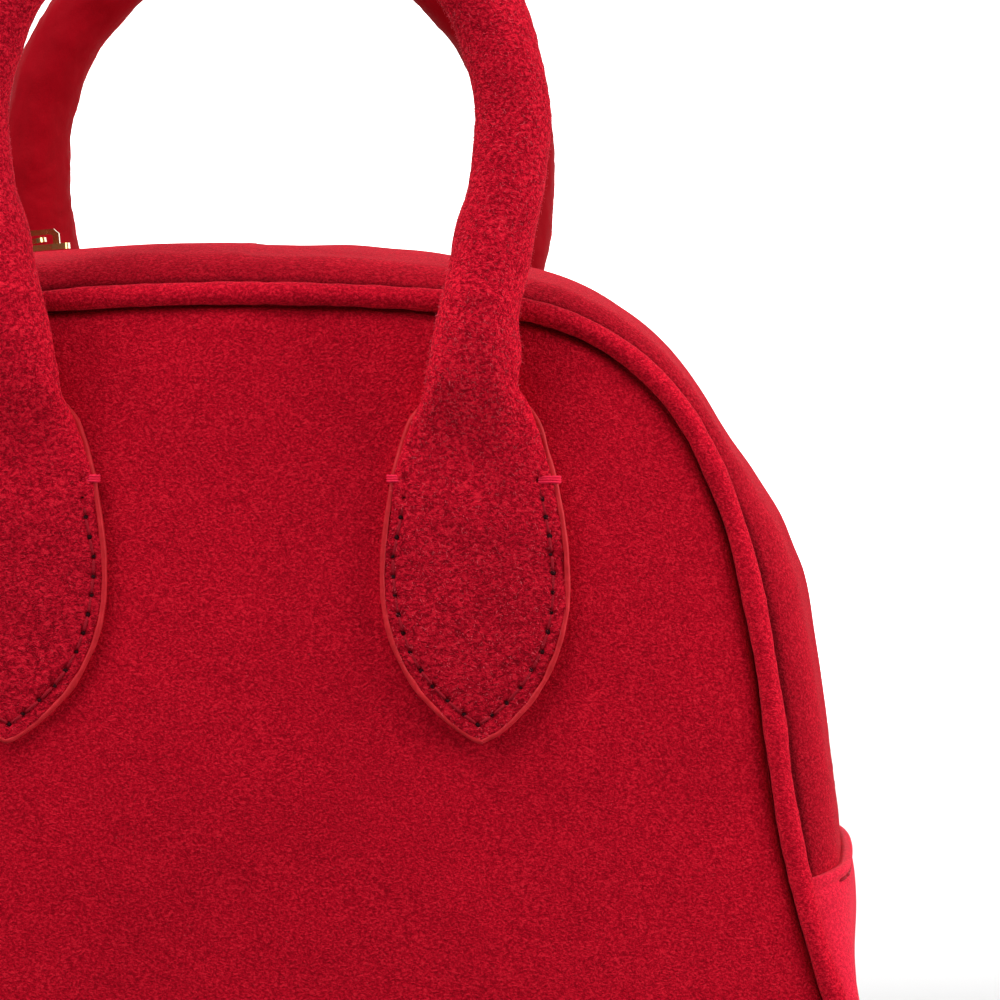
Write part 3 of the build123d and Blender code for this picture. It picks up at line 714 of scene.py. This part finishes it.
def base_point(s, u, lift=0.0):
    """Points at run s (from the folded edge, from either end) and depth u; arrays of one shape."""
    s, u = np.broadcast_arrays(np.asarray(s, float), np.asarray(u, float))
    near = np.minimum(s, TOTAL - s)
    pull = edge_line(u) * np.clip(1 - near / 45.0, 0, 1)
    run = np.where(s < TOTAL / 2, s + pull, s - pull)
    away = np.minimum(run, TOTAL - run)
    v = gusset_v(u, ease(away, LOW_S, LOW_V, 3.0), 0)
    side = 1 - smoothstep(26, 60, near)
    v = v + side * (PROUD - 0.9 * smoothstep(8, 34, near))
    v = v + 0.4 * np.exp(-((near - 1.2) / 1.1) ** 2) - 0.7 * np.exp(-((near - 2.9) / 0.8) ** 2)
    v = v - 1.1 * np.clip(1 - near / 0.8, 0, 1) ** 2 + lift
    x, z, h = (np.interp(run, track[:, 3], track[:, k]) for k in range(3))
    h = np.radians(h + 90.0)
    return np.stack([x + v * np.cos(h), u, z + v * np.sin(h)], -1)


s_rows = np.concatenate([[0.0, 0.25, 0.5, 0.8, 1.2, 1.6, 2.0, 2.4, 2.7, 3.0, 3.4, 3.9, 4.6], np.arange(5.6, TOTAL / 2, 1.6)])
s_rows = np.concatenate([s_rows, TOTAL - s_rows[::-1]])
S2, U2 = np.meshgrid(s_rows, uu, indexing="ij")
flatp = base_point(S2, U2)
near2 = np.minimum(S2, TOTAL - S2)
soft2 = smoothstep(0, 12, GH - np.abs(U2)) * smoothstep(0, 9, near2) * smoothstep(-2, 26, flatp[..., 2])
bumpy = soft2 * (0.2 * field(flatp, 44, 71) + 0.08 * field(flatp, 17, 73))
outer = base_point(S2, U2, bumpy)
inner = base_point(S2, U2, bumpy - 2.0)
outer[..., 2] = np.maximum(outer[..., 2], 0.0)
inner[..., 2] = np.maximum(inner[..., 2], 1.2)
base = closed_sheet("suede_base_gusset", outer, inner, BASE)
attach(base, "bag")
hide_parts("base_gusset")


def stitch(soup, a, b, lift_dir, radius=0.42, bow=0.28, sink=0.5, segs=7):
    """One thread span from hole a to hole b, diving in at both ends."""
    a, b, n = (np.asarray(k, float) for k in (a, b, lift_dir))
    t = np.linspace(0, 1, segs)
    arc = (np.clip(np.minimum(t, 1 - t) / 0.22, 0, 1)) ** 0.6
    path = a + (b - a) * t[:, None] + n * ((bow + sink) * arc - sink)[:, None]
    soup.tube(path, radius * (0.72 + 0.28 * arc), 8, up=tuple(np.cross(b - a, n) + 1e-4))


soup = Soup()
for side in (1, -1):
    k = np.arange(-12.5, 12.6, 1.0) * 4.2
    for u0, u1 in zip(k[:-1], k[1:]):
        a, b = base_point(2.9, u0 + 0.35), base_point(2.9, u1 - 0.35)
        n = base_point(2.9, (u0 + u1) / 2, 1.0) - base_point(2.9, (u0 + u1) / 2)
        if side < 0:
            a, b, n = a * (-1, 1, 1), b * (-1, 1, 1), n * (-1, 1, 1)
        stitch(soup, a, b, n, 0.4)
ob = soup.mesh("base_topstitch", THREAD)
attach(ob, "bag")
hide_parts("base_gusset_topstitch")

# -------------------------------------------------------------------- the zip
s_up = up[:, 3] - up[-1, 3] / 2
v_zip = crown_up(s_up)
for rear in (False, True):
    sgn = 1 if rear else -1
    uu = np.linspace(0.35, 14.0, 16) * sgn
    if not rear:
        uu = uu[::-1]
    V = gusset_v(uu[None, :], v_zip[:, None], 3.6) - 3.1
    V = np.broadcast_to(V, (len(up), len(uu)))
    ob = closed_sheet("tape_rear" if rear else "tape_front", place(up, uu[None, :], V), place(up, uu[None, :], V - 0.6), TAPE)
    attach(ob, "bag")
    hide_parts("zip_tape_rear" if rear else "zip_tape_front")
    # coil: one loop per 1.7 mm, reaching across the middle between the other side's loops
    soup = Soup()
    total = up[-1, 3]
    count = int((total - 10) / 1.7)
    for k in range(count):
        sk = 5 + (k + (0.5 if rear else 0.0)) * 1.7
        row = np.array([[np.interp(sk, up[:, 3], up[:, c]) for c in range(3)] + [sk]])
        vc = float(crown_up(np.array([sk - total / 2]))[0])
        t = np.radians(row[0, 2])
        tang = np.array([math.cos(t), 0, math.sin(t)])
        prof = [(3.1, -2.6), (3.0, -1.9), (1.6, -1.65), (0.2, -1.75), (-0.45, -2.2)]
        path = np.array([place(row, np.array([[sgn * a]]), np.array([[vc + b]]))[0, 0] for a, b in prof])
        soup.tube(path, np.array([0.4, 0.44, 0.44, 0.46, 0.5]), 6, up=tuple(tang))
    ob = soup.mesh("coil_rear" if rear else "coil_front", COIL)
    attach(ob, "bag")
    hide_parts("zip_coil_rear" if rear else "zip_coil_front")
    # topstitch beside the zip
    soup = Soup()
    for k in range(int((total - 14) / 4.2)):
        pts = []
        for q in (0.4, 3.8):
            sk = 7 + k * 4.2 + q
            row = np.array([[np.interp(sk, up[:, 3], up[:, c]) for c in range(3)] + [sk]])
            vc = float(crown_up(np.array([sk - total / 2]))[0])
            h = np.radians(row[0, 2] + 90)
            pts.append(place(row, np.array([[sgn * 8.2]]), np.array([[vc - 0.68]]))[0, 0])
        stitch(soup, pts[0], pts[1], (math.cos(h), 0, math.sin(h)), 0.38, 0.2)
    ob = soup.mesh("zip_topstitch_rear" if rear else "zip_topstitch_front", THREAD)
    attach(ob, "bag")

# ------------------------------------------------------------- handles and tabs
# Leaf-shaped tab and neck: left and right edges by height, right-hand side of the front.
LEFT = [(209.5, 42.9), (203.7, 41.2), (198.0, 39.8), (193.0, 38.9), (188.0, 38.2), (184.6, 37.4), (181.0, 35.6), (177.8, 34.2), (174.0, 32.9),
        (170.1, 31.8), (166.7, 31.0), (162.0, 30.2), (157.6, 29.5), (150.9, 28.8), (145.6, 28.6), (141.2, 28.8), (135.7, 29.6),
        (131.1, 31.0), (125.6, 33.6), (121.2, 36.5), (117.2, 40.3), (114.1, 43.9), (112.1, 46.8), (110.9, 49.0), (110.7, 49.8)]
RIGHT = [(209.5, 59.8), (203.7, 58.7), (198.0, 58.1), (193.0, 57.8), (188.0, 58.0), (186.3, 58.3), (182.5, 60.4), (176.4, 62.9), (170.1, 64.6),
         (164.6, 66.1), (158.1, 67.3), (150.9, 68.2), (142.7, 68.5), (138.3, 68.2), (133.6, 67.3), (129.2, 66.0), (123.9, 63.7),
         (119.3, 60.6), (114.9, 56.6), (112.4, 53.2), (111.1, 50.9), (110.7, 49.8)]


def smooth_line(points, n=900, width=14):
    p = np.array([(x, z) for z, x in points])
    seg = np.concatenate([[0], np.cumsum(np.hypot(*np.diff(p, axis=0).T))])
    q = np.stack([np.interp(np.linspace(0, seg[-1], n), seg, p[:, k]) for k in range(2)], -1)
    k = np.hanning(2 * width + 3)[1:-1]
    k /= k.sum()
    pad = np.vstack([2 * q[0] - q[width:0:-1], q, 2 * q[-1] - q[-2:-width - 2:-1]])
    return np.stack([np.convolve(pad[:, j], k, "valid") for j in range(2)], -1)


LEDGE, REDGE = smooth_line(LEFT), smooth_line(RIGHT)


def edge_x(line, z):
    o = np.argsort(line[:, 1])
    return np.interp(z, line[o, 1], line[o, 0])


TIP_Z = float(max(LEDGE[-1, 1], REDGE[-1, 1]))
HY, ARCH_R, ARCH_Z = 71.5, 56.6, 239.5
FLEX_X, FLEX_Z = 51.0, 209.0
TUBE_R, NECK_R = 7.95, 8.35
R_FOOT = ((ARCH_R - FLEX_X) ** 2 + (ARCH_Z - FLEX_Z) ** 2) / (2 * (ARCH_R - FLEX_X))
FOOT = math.asin((ARCH_Z - FLEX_Z) / R_FOOT)

# Stitch holes of the right-hand tab, from the upper left round the tip to the upper right.
HOLES = [
    (33.83, 166.37), (33.68, 162.26), (33.05, 158.26), (32.21, 154.05), (31.37, 149.84), (31.43, 145.84), (31.89, 141.84),
    (32.53, 137.84), (33.58, 133.95), (35.05, 130.05), (37.16, 126.26), (39.79, 122.89), (42.74, 119.84), (46.11, 117.0),
    (49.16, 114.79), (52.21, 116.68), (55.16, 119.32), (58.11, 122.68), (60.53, 126.26), (62.42, 130.16), (63.79, 134.26),
    (64.59, 138.37), (64.91, 142.47), (64.91, 146.58), (64.59, 150.58), (64.11, 154.47), (63.37, 158.26), (62.63, 162.05),
    (61.79, 166.16),
]


def drape_y(x, z, rear=False):
    """Front surface of the panel under the tab."""
    p, _ = panel_depth(np.asarray(x, float), np.asarray(z, float), rear)
    return -(SEAM_Y + p)


KNOT_Z = np.array([180.0, 186.0, 193.3, 200.0, 203.7, 211.5, 218.0, 224.6, 231.3, 239.5, 246.0])
KNOT_X = np.array([48.0, 48.1, 48.65, 49.45, 50.1, 51.65, 53.1, 54.55, 55.95, 56.6, 56.6])


def CENTRE(z):
    """Sideways position of the roll's centre below the arch."""
    return ease(z, KNOT_Z, KNOT_X, 3.5)


def roll_radius(z):
    return TUBE_R + (NECK_R - TUBE_R) * (1 - smoothstep(206, 236, z))


def half_handle(rear, M=132):
    """Stations from the tab's tip up to the top of the arch, right-hand side; (stations, M, 3)."""
    t = np.linspace(0, 1, 128)
    z_leaf = TIP_Z + 0.35 + (186.0 - TIP_Z - 0.35) * (t ** 1.35)
    z_neck = np.linspace(186.0, ARCH_Z, 56)[1:]
    zs = np.concatenate([z_leaf, z_neck])
    xl, xr = edge_x(LEDGE, zs), edge_x(REDGE, zs)
    flat = 1 - smoothstep(176, 200, zs)
    inset = 0.85 * (1 - smoothstep(183, 190, zs))
    xl, xr = xl + inset, xr - inset
    a, cx = (xr - xl) / 2, (xr + xl) / 2
    # toward the top the section settles into the round roll, square to its own centre line
    cx = np.where(zs < 190, cx, 0) + np.where(zs >= 190, CENTRE(zs), 0)
    w = smoothstep(190, 206, zs)
    a = a * (1 - w) + roll_radius(zs) * w
    b = np.interp(zs, [110, 150, 160, 166, 172, 178, 184, 190, 197, 204, 209], [1.15, 1.25, 1.35, 1.7, 2.5, 3.7, 5.0, 6.3, 7.4, 8.0, 8.3])
    b = np.where(zs > 204, roll_radius(zs), b)
    power = np.interp(zs, [110, 160, 176, 190, 200], [7.0, 5.0, 3.0, 2.2, 2.0])
    tilt = np.arctan(np.gradient(CENTRE(zs), zs)) * smoothstep(188, 202, zs)
    ang = np.arange(M) * 2 * math.pi / M
    xi = np.cos(ang)
    sg = np.sign(np.sin(ang))
    eta = sg[None, :] * (1 - np.abs(xi)[None, :] ** power[:, None]) ** (1 / power[:, None])
    reach = a[:, None] * xi[None, :]
    X = cx[:, None] + reach * np.cos(tilt)[:, None]
    Zg = zs[:, None] - reach * np.sin(tilt)[:, None]
    lie = drape_y(X, Zg, rear) - 0.3 - 1.15
    back = np.interp(zs, [110, 172, 180, 186, 192, 198, 204, 209], [0, 0.0, 0.10, 0.28, 0.52, 0.78, 0.95, 1.0])[:, None]
    centre_y = lie - np.interp(zs, [110, 166, 186], [0, 0, 1.0])[:, None] * (b[:, None] - 1.2) * 0.9
    cy = centre_y * (1 - back) - HY * back
    pts = np.stack([X, cy - b[:, None] * eta, Zg], -1)
    k = np.linspace(0, math.pi / 2, 72)[1:]
    rest = np.stack([ARCH_R * np.cos(k), ARCH_Z + ARCH_R * np.sin(k), np.cos(k), np.sin(k)], -1)
    cen = np.stack([rest[:, 0], np.full(len(rest), -HY), rest[:, 1]], -1)
    ox = np.stack([rest[:, 2], np.zeros(len(rest)), rest[:, 3]], -1)
    tube = cen[:, None] + TUBE_R * (xi[None, :, None] * ox[:, None] + np.sin(ang)[None, :, None] * np.array([0, -1.0, 0]))
    return np.vstack([pts, tube]), len(zs)


def leather_surface(pts, nz, rear):
    """Nap-scale and hand-scale unevenness, stitch channel and holes; pts (n, M, 3) of the right half."""
    n, M = pts.shape[:2]
    du = np.roll(pts, -1, 1) - np.roll(pts, 1, 1)
    dv = np.gradient(pts, axis=0)
    nor = np.cross(du, dv)
    ln = np.linalg.norm(nor, axis=2, keepdims=True)
    nor = np.where(ln > 1e-9, nor / np.maximum(ln, 1e-9), 0)
    mid = pts.mean(1, keepdims=True)
    flip = np.sign(((pts - mid) * nor).sum(-1).mean())
    nor = nor * flip
    front = (np.sin(np.arange(M) * 2 * math.pi / M) > 0)[None, :]
    z = pts[..., 2]
    off = 0.16 * field(pts, 14, 81 + rear) * smoothstep(112, 130, z) + 0.05 * field(pts, 3.2, 83 + rear, 60)
    # where the roll flattens, the leather gathers in low ridges along the pull
    gather = np.exp(-((z - 184) / 11) ** 2)
    off = off + front * gather * 0.22 * np.cos(pts[..., 0] * 0.95 + 0.6 * field(pts, 20, 91))
    hx = np.array(HOLES)
    leaf = front & (z < 170)
    if leaf.any():
        q = pts[leaf][:, [0, 2]]
        dist = np.full(len(q), 1e9)
        for p0, p1 in zip(hx[:-1], hx[1:]):
            e = p1 - p0
            t = np.clip(((q - p0) @ e) / (e @ e), 0, 1)
            dist = np.minimum(dist, np.hypot(*(q - p0 - t[:, None] * e).T))
        hole = np.min(np.hypot(q[:, None, 0] - hx[None, :, 0], q[:, None, 1] - hx[None, :, 1]), 1)
        extra = -0.22 * np.exp(-(dist / 0.9) ** 2) - 0.95 * np.exp(-(hole / 0.55) ** 2)
        o = off[leaf] + extra
        off[leaf] = o
    return pts + nor * off[..., None]


for rear in (False, True):
    tag = "rear" if rear else "front"
    half_pts, nz = half_handle(rear)
    half_pts = leather_surface(half_pts, nz, rear)
    M = half_pts.shape[1]
    # mirror: left half reversed, sharing the apex
    left = half_pts[:-1][::-1].copy()
    left[..., 0] *= -1
    left = left[:, (M // 2 - np.arange(M)) % M]
    full = np.vstack([half_pts, left])
    if rear:
        # the rear handle's legs stand a little wider apart than the front one's
        full = full.copy()
        wide = smoothstep(198, 210, full[..., 2]) * (1 - smoothstep(214, 243, full[..., 2]))
        full[..., 0] += np.sign(full[..., 0]) * 2.2 * wide
        full[..., 2] -= 3.6 * smoothstep(200, 240, full[..., 2])
        full[..., 1] *= -1
    nst = len(full)
    verts = full.reshape(-1, 3)
    faces = grid_faces(nst, M, close_v=True, flip=rear)
    tip0, tip1 = full[0].mean(0) + (0, 0, -0.2), full[-1].mean(0) + (0, 0, -0.2)
    c0, c1 = len(verts), len(verts) + 1
    verts = np.vstack([verts, tip0, tip1])
    last = (nst - 1) * M
    caps = [[(k + 1) % M, k, c0] for k in range(M)] + [[last + k, last + (k + 1) % M, c1] for k in range(M)]
    if rear:
        caps = [c[::-1] for c in caps]
    ob = mesh(f"suede_{tag}_handle", verts, faces + caps, HANDLE_R if rear else HANDLE_F)
    import bmesh
    bm = bmesh.new()
    bm.from_mesh(ob.data)
    bmesh.ops.recalc_face_normals(bm, faces=bm.faces)
    bm.to_mesh(ob.data)
    bm.free()
    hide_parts(f"{tag}_handle_wrap", f"{tag}_handle_core", f"{tag}_handle_neck_left", f"{tag}_handle_neck_right",
                f"{tag}_handle_tab_left", f"{tag}_handle_tab_right")
    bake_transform(ob)

    # loose fibres standing out of the nap
    rs = np.random.default_rng(400 + rear)
    A, B_, C_ = full[:-1], full[1:], np.roll(full, -1, 1)[:-1]
    nrm = np.cross(B_ - A, C_ - A)
    size = np.linalg.norm(nrm, axis=2)
    nrm = nrm / np.maximum(size, 1e-9)[..., None]
    mid = full.mean(1, keepdims=True)[:-1]
    nrm *= np.sign(((A - mid) * nrm).sum(-1).mean())
    napped = size * (np.abs(A[..., 1]) > HY - 1.0) + size * (A[..., 2] < 200) * (np.sin(np.arange(M) * 2 * math.pi / M) > 0)[None, :]
    pick = rs.choice(napped.size, size=12000 if not rear else 3000, p=(napped / napped.sum()).ravel())
    i, j = np.unravel_index(pick, napped.shape)
    w1, w2 = rs.random(len(i)), rs.random(len(i))
    root = A[i, j] + w1[:, None] * (B_[i, j] - A[i, j]) + w2[:, None] * (C_[i, j] - A[i, j])
    nn = nrm[i, j]
    lean = rs.normal(size=(len(i), 3)) * 0.75 + (0.15, 0, -0.35)
    lean -= (lean * nn).sum(1, keepdims=True) * nn
    length = rs.uniform(0.35, 0.95, len(i))[:, None]
    p1 = root + length * (0.42 * nn + 0.30 * lean)
    p2 = root + length * (0.62 * nn + 0.80 * lean)
    root = root - 0.15 * nn
    side_a = np.cross(nn, lean + 1e-6)
    side_a /= np.linalg.norm(side_a, axis=1)[:, None]
    thick = rs.uniform(0.035, 0.065, len(i))[:, None]
    tri = [side_a, -0.5 * side_a + 0.8 * nn, -0.5 * side_a - 0.8 * nn]
    v = np.stack([root + thick * t for t in tri] + [p1 + thick * 0.8 * t for t in tri] + [p2], 1)
    pattern = [[0, 1, 4, 3], [1, 2, 5, 4], [2, 0, 3, 5], [3, 4, 6], [4, 5, 6], [5, 3, 6], [2, 1, 0]]
    idx = (np.arange(len(i)) * 7).tolist()
    fuzz = mesh(f"suede_fibres_{tag}_handle", v.reshape(-1, 3), [[b0 + q for q in f] for b0 in idx for f in pattern], FIBRE)
    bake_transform(fuzz)

    # painted edges of the laminated tabs
    for side in ("left", "right"):
        soup = Soup()
        line = np.vstack([LEDGE[LEDGE[:, 1] < 189.5], REDGE[REDGE[:, 1] < 189.5][::-1]])
        seg = np.concatenate([[0], np.cumsum(np.hypot(*np.diff(line, axis=0).T))])
        u = np.linspace(0, seg[-1], 300)
        line = np.stack([np.interp(u, seg, line[:, k]) for k in range(2)], -1)
        cxm = 48.6
        tuck = smoothstep(178, 189, line[:, 1])
        x = line[:, 0] + (cxm - line[:, 0]) * 0.34 * tuck
        inward = np.stack([-(np.gradient(line[:, 1])), np.gradient(line[:, 0])], -1)
        inward /= np.linalg.norm(inward, axis=1)[:, None]
        if ((np.array([cxm, 145]) - line) * inward).sum(1).mean() < 0:
            inward *= -1
        x = x + inward[:, 0] * 0.5
        z = line[:, 1] + inward[:, 1] * 0.5
        y = drape_y(x, z, rear) - 0.3 - 1.15 + 0.5 * tuck
        path = np.stack([x, y, z], -1)
        path[:, 1] += 0.05 * field(path, 8, 95)
        tang = np.gradient(path, axis=0)
        tang /= np.linalg.norm(tang, axis=1)[:, None]
        n = len(path)
        sides = 16
        ang = np.arange(sides) * 2 * math.pi / sides
        inw = np.stack([inward[:, 0], np.zeros(n), inward[:, 1]], -1)
        prof_c = np.sign(np.cos(ang)) * np.abs(np.cos(ang)) ** 0.6
        prof_s = np.sign(np.sin(ang)) * np.abs(np.sin(ang)) ** 0.6
        wob = 1 + 0.06 * field(path, 6, 97)
        pts = path[:, None] + (0.60 * wob)[:, None, None] * prof_c[None, :, None] * inw[:, None] + 1.13 * prof_s[None, :, None] * np.array([0, -1.0, 0])
        faces = grid_faces(n, sides, close_v=True) + [list(range(sides)), [(n - 1) * sides + k for k in reversed(range(sides))]]
        if side == "left":
            pts = pts * (-1, 1, 1)
        if rear:
            pts = pts * (1, -1, 1)
        ob = mesh(f"painted_edge_{tag}_{side}", pts.reshape(-1, 3), faces, EDGE_PAINT)
        bm = bmesh.new()
        bm.from_mesh(ob.data)
        bmesh.ops.recalc_face_normals(bm, faces=bm.faces)
        bm.to_mesh(ob.data)
        bm.free()
        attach(ob, "bag")
        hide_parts(f"{tag}_tab_backing_{side}")

    # thread in the stitch channel, and near-black discs in the holes as painted shade
    thread, holes, tacks = Soup(), Soup(), Soup()
    H = np.array(HOLES)

    def on_tab(x, z, lift):
        x, z = np.atleast_1d(x), np.atleast_1d(z)
        return np.stack([x, drape_y(x, z, rear) - 0.3 - 1.15 - 1.25 - lift, z], -1)[0]

    rng = np.random.default_rng(7)
    for k, (p0, p1) in enumerate(zip(H[:-1], H[1:])):
        e = (p1 - p0) / np.linalg.norm(p1 - p0)
        a, b = p0 + e * 0.55, p1 - e * 0.55
        lift = -0.30 + 0.07 * rng.standard_normal()
        stitch(thread, on_tab(a[0], a[1], 0), on_tab(b[0], b[1], 0), (0, -1, 0), 0.33, lift, 0.5)
    for p0 in H:
        p0 = p0 + 0.12 * rng.standard_normal(2)
        c = on_tab(p0[0], p0[1], -0.42)
        ring = np.array([[0, 0.18, 0], [0, 0.06, 0], [0, -0.02, 0]])
        holes.tube(c + ring, np.array([0.1, 0.55, 0.25]) * rng.uniform(0.62, 1.05), 10, up=(0, 0, 1), flat=rng.uniform(0.7, 1.2))
    for p0, out in ((H[0], -1), (H[-1], 1)):
        xe = edge_x(LEDGE if out < 0 else REDGE, p0[1])
        for q in (-0.55, -0.05, 0.45):
            zz = p0[1] + q
            xs = [p0[0] + out * 0.1, p0[0] + (xe - p0[0]) * 0.35, p0[0] + (xe - p0[0]) * 0.75, xe + out * 0.25, xe + out * 0.75, xe + out * 0.6]
            base_y = [on_tab(xs[0], zz, -0.35)[1]] + [on_tab(v, zz, 0.22)[1] for v in xs[1:3]] + [on_tab(xs[3], zz, 0.05)[1], on_tab(xs[4], zz, -0.9)[1], on_tab(xs[5], zz, -2.3)[1]]
            zl = [zz + 0.1 * q, zz, zz + 0.05, zz + 0.1 * q, zz, zz]
            pth = np.stack([xs, base_y, zl], -1)
            fine = np.stack([np.interp(np.linspace(0, 5, 26), np.arange(6), pth[:, c]) for c in range(3)], -1)
            ker = np.array([0.25, 0.5, 0.25])
            for _ in range(3):
                fine[1:-1] = ker[0] * fine[:-2] + ker[1] * fine[1:-1] + ker[2] * fine[2:]
            tacks.tube(fine, np.full(26, 0.3), 8, up=(0, 0, 1))
    for soup, nm, mat_ in ((thread, "stitches", THREAD), (holes, "stitch_holes", HOLE), (tacks, "bar_tacks", TACK)):
        v, f = np.vstack(soup.v), soup.f
        v2 = v * (-1, 1, 1)
        both = Soup()
        both.add(v, f)
        both.add(v2, [g[::-1] for g in f])
        vv = np.vstack(both.v)
        ff = both.f
        if rear:
            vv = vv * (1, -1, 1)
            ff = [g[::-1] for g in ff]
        ob = mesh(f"{tag}_tab_{nm}", vv, ff, mat_)
        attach(ob, "bag")
        if nm == "stitches":
            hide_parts(f"{tag}_tab_stitching")

# ------------------------------------------------------- camera, light, stage
def plain_material(name, near, far, emission=0.0):
    n = Nodes(name)
    sep = n.t.nodes.new("ShaderNodeSeparateXYZ")
    n.link(n.coord, sep.inputs[0])
    t = n.math("MULTIPLY", n.math("SUBTRACT", sep.outputs["Y"], 0.15), 2.2, clamp=True)
    n.set(Base_Color=n.mix(t, near, far), Roughness=0.9)
    if emission:
        n.bsdf.inputs["Emission Color"].default_value = (1, 1, 1, 1)
        n.bsdf.inputs["Emission Strength"].default_value = emission
    return n.m


# a grey table top that pales toward a white backdrop
floor = mesh("studio_floor", [(-2500, -2500, -0.05), (2500, -2500, -0.05), (2500, 1400, -0.05), (-2500, 1400, -0.05)], [[0, 1, 2, 3]],
             plain_material("floor_grey", (0.28, 0.28, 0.28, 1), (0.9, 0.9, 0.9, 1)))
wall = mesh("studio_backdrop", [(-2500, 1400, -0.05), (2500, 1400, -0.05), (2500, 1400, 2400), (-2500, 1400, 2400)], [[0, 1, 2, 3]],
            plain_material("backdrop_white", (0.9, 0.9, 0.9, 1), (0.9, 0.9, 0.9, 1), 1.1))

world = bpy.data.worlds.new("studio")
bpy.context.scene.world = world
world.use_nodes = True
bg = next(n for n in world.node_tree.nodes if n.type == "BACKGROUND")
bg.inputs["Color"].default_value = (1, 1, 1, 1)
bg.inputs["Strength"].default_value = 0.12


def area(name, location, target, size, power, colour=(1, 1, 1)):
    light = bpy.data.lights.new(name, "AREA")
    light.shape = "RECTANGLE"
    light.size, light.size_y = size
    light.energy = power
    light.color = colour
    ob = link(bpy.data.objects.new(name, light))
    ob.location = location
    d = np.array(target) - np.array(location)
    ob.rotation_euler = Vector(d).to_track_quat("-Z", "Y").to_euler()
    return ob


from mathutils import Vector
area("softbox_top", (-0.25, -0.34, 1.2), (0.0, 0.0, 0.16), (0.7, 0.6), 13.6)
area("softbox_left", (-1.05, -0.85, 0.8), (0.02, 0, 0.16), (0.6, 0.7), 8.5)
area("softbox_right", (1.25, -0.25, 0.55), (0.05, 0, 0.15), (0.7, 0.9), 18.5)

cam_data = bpy.data.cameras.new("camera")
cam = link(bpy.data.objects.new("camera", cam_data))
D, EL, AZ = 1.2, 2.25, 0.8
target = np.array([53.7, -62.0, 161.6]) * MM
e, a = math.radians(EL), math.radians(AZ)
loc = target + D * np.array([math.sin(a) * math.cos(e), -math.cos(a) * math.cos(e), math.sin(e)])
cam.location = loc
cam.rotation_euler = Vector(target - loc).to_track_quat("-Z", "Y").to_euler()
cam_data.sensor_width = 36.0
cam_data.lens = 36.0 * D / (210.5 * MM)
cam_data.clip_start, cam_data.clip_end = 0.05, 20
bpy.context.scene.camera = cam
bpy.context.scene.view_settings.view_transform = "Standard"
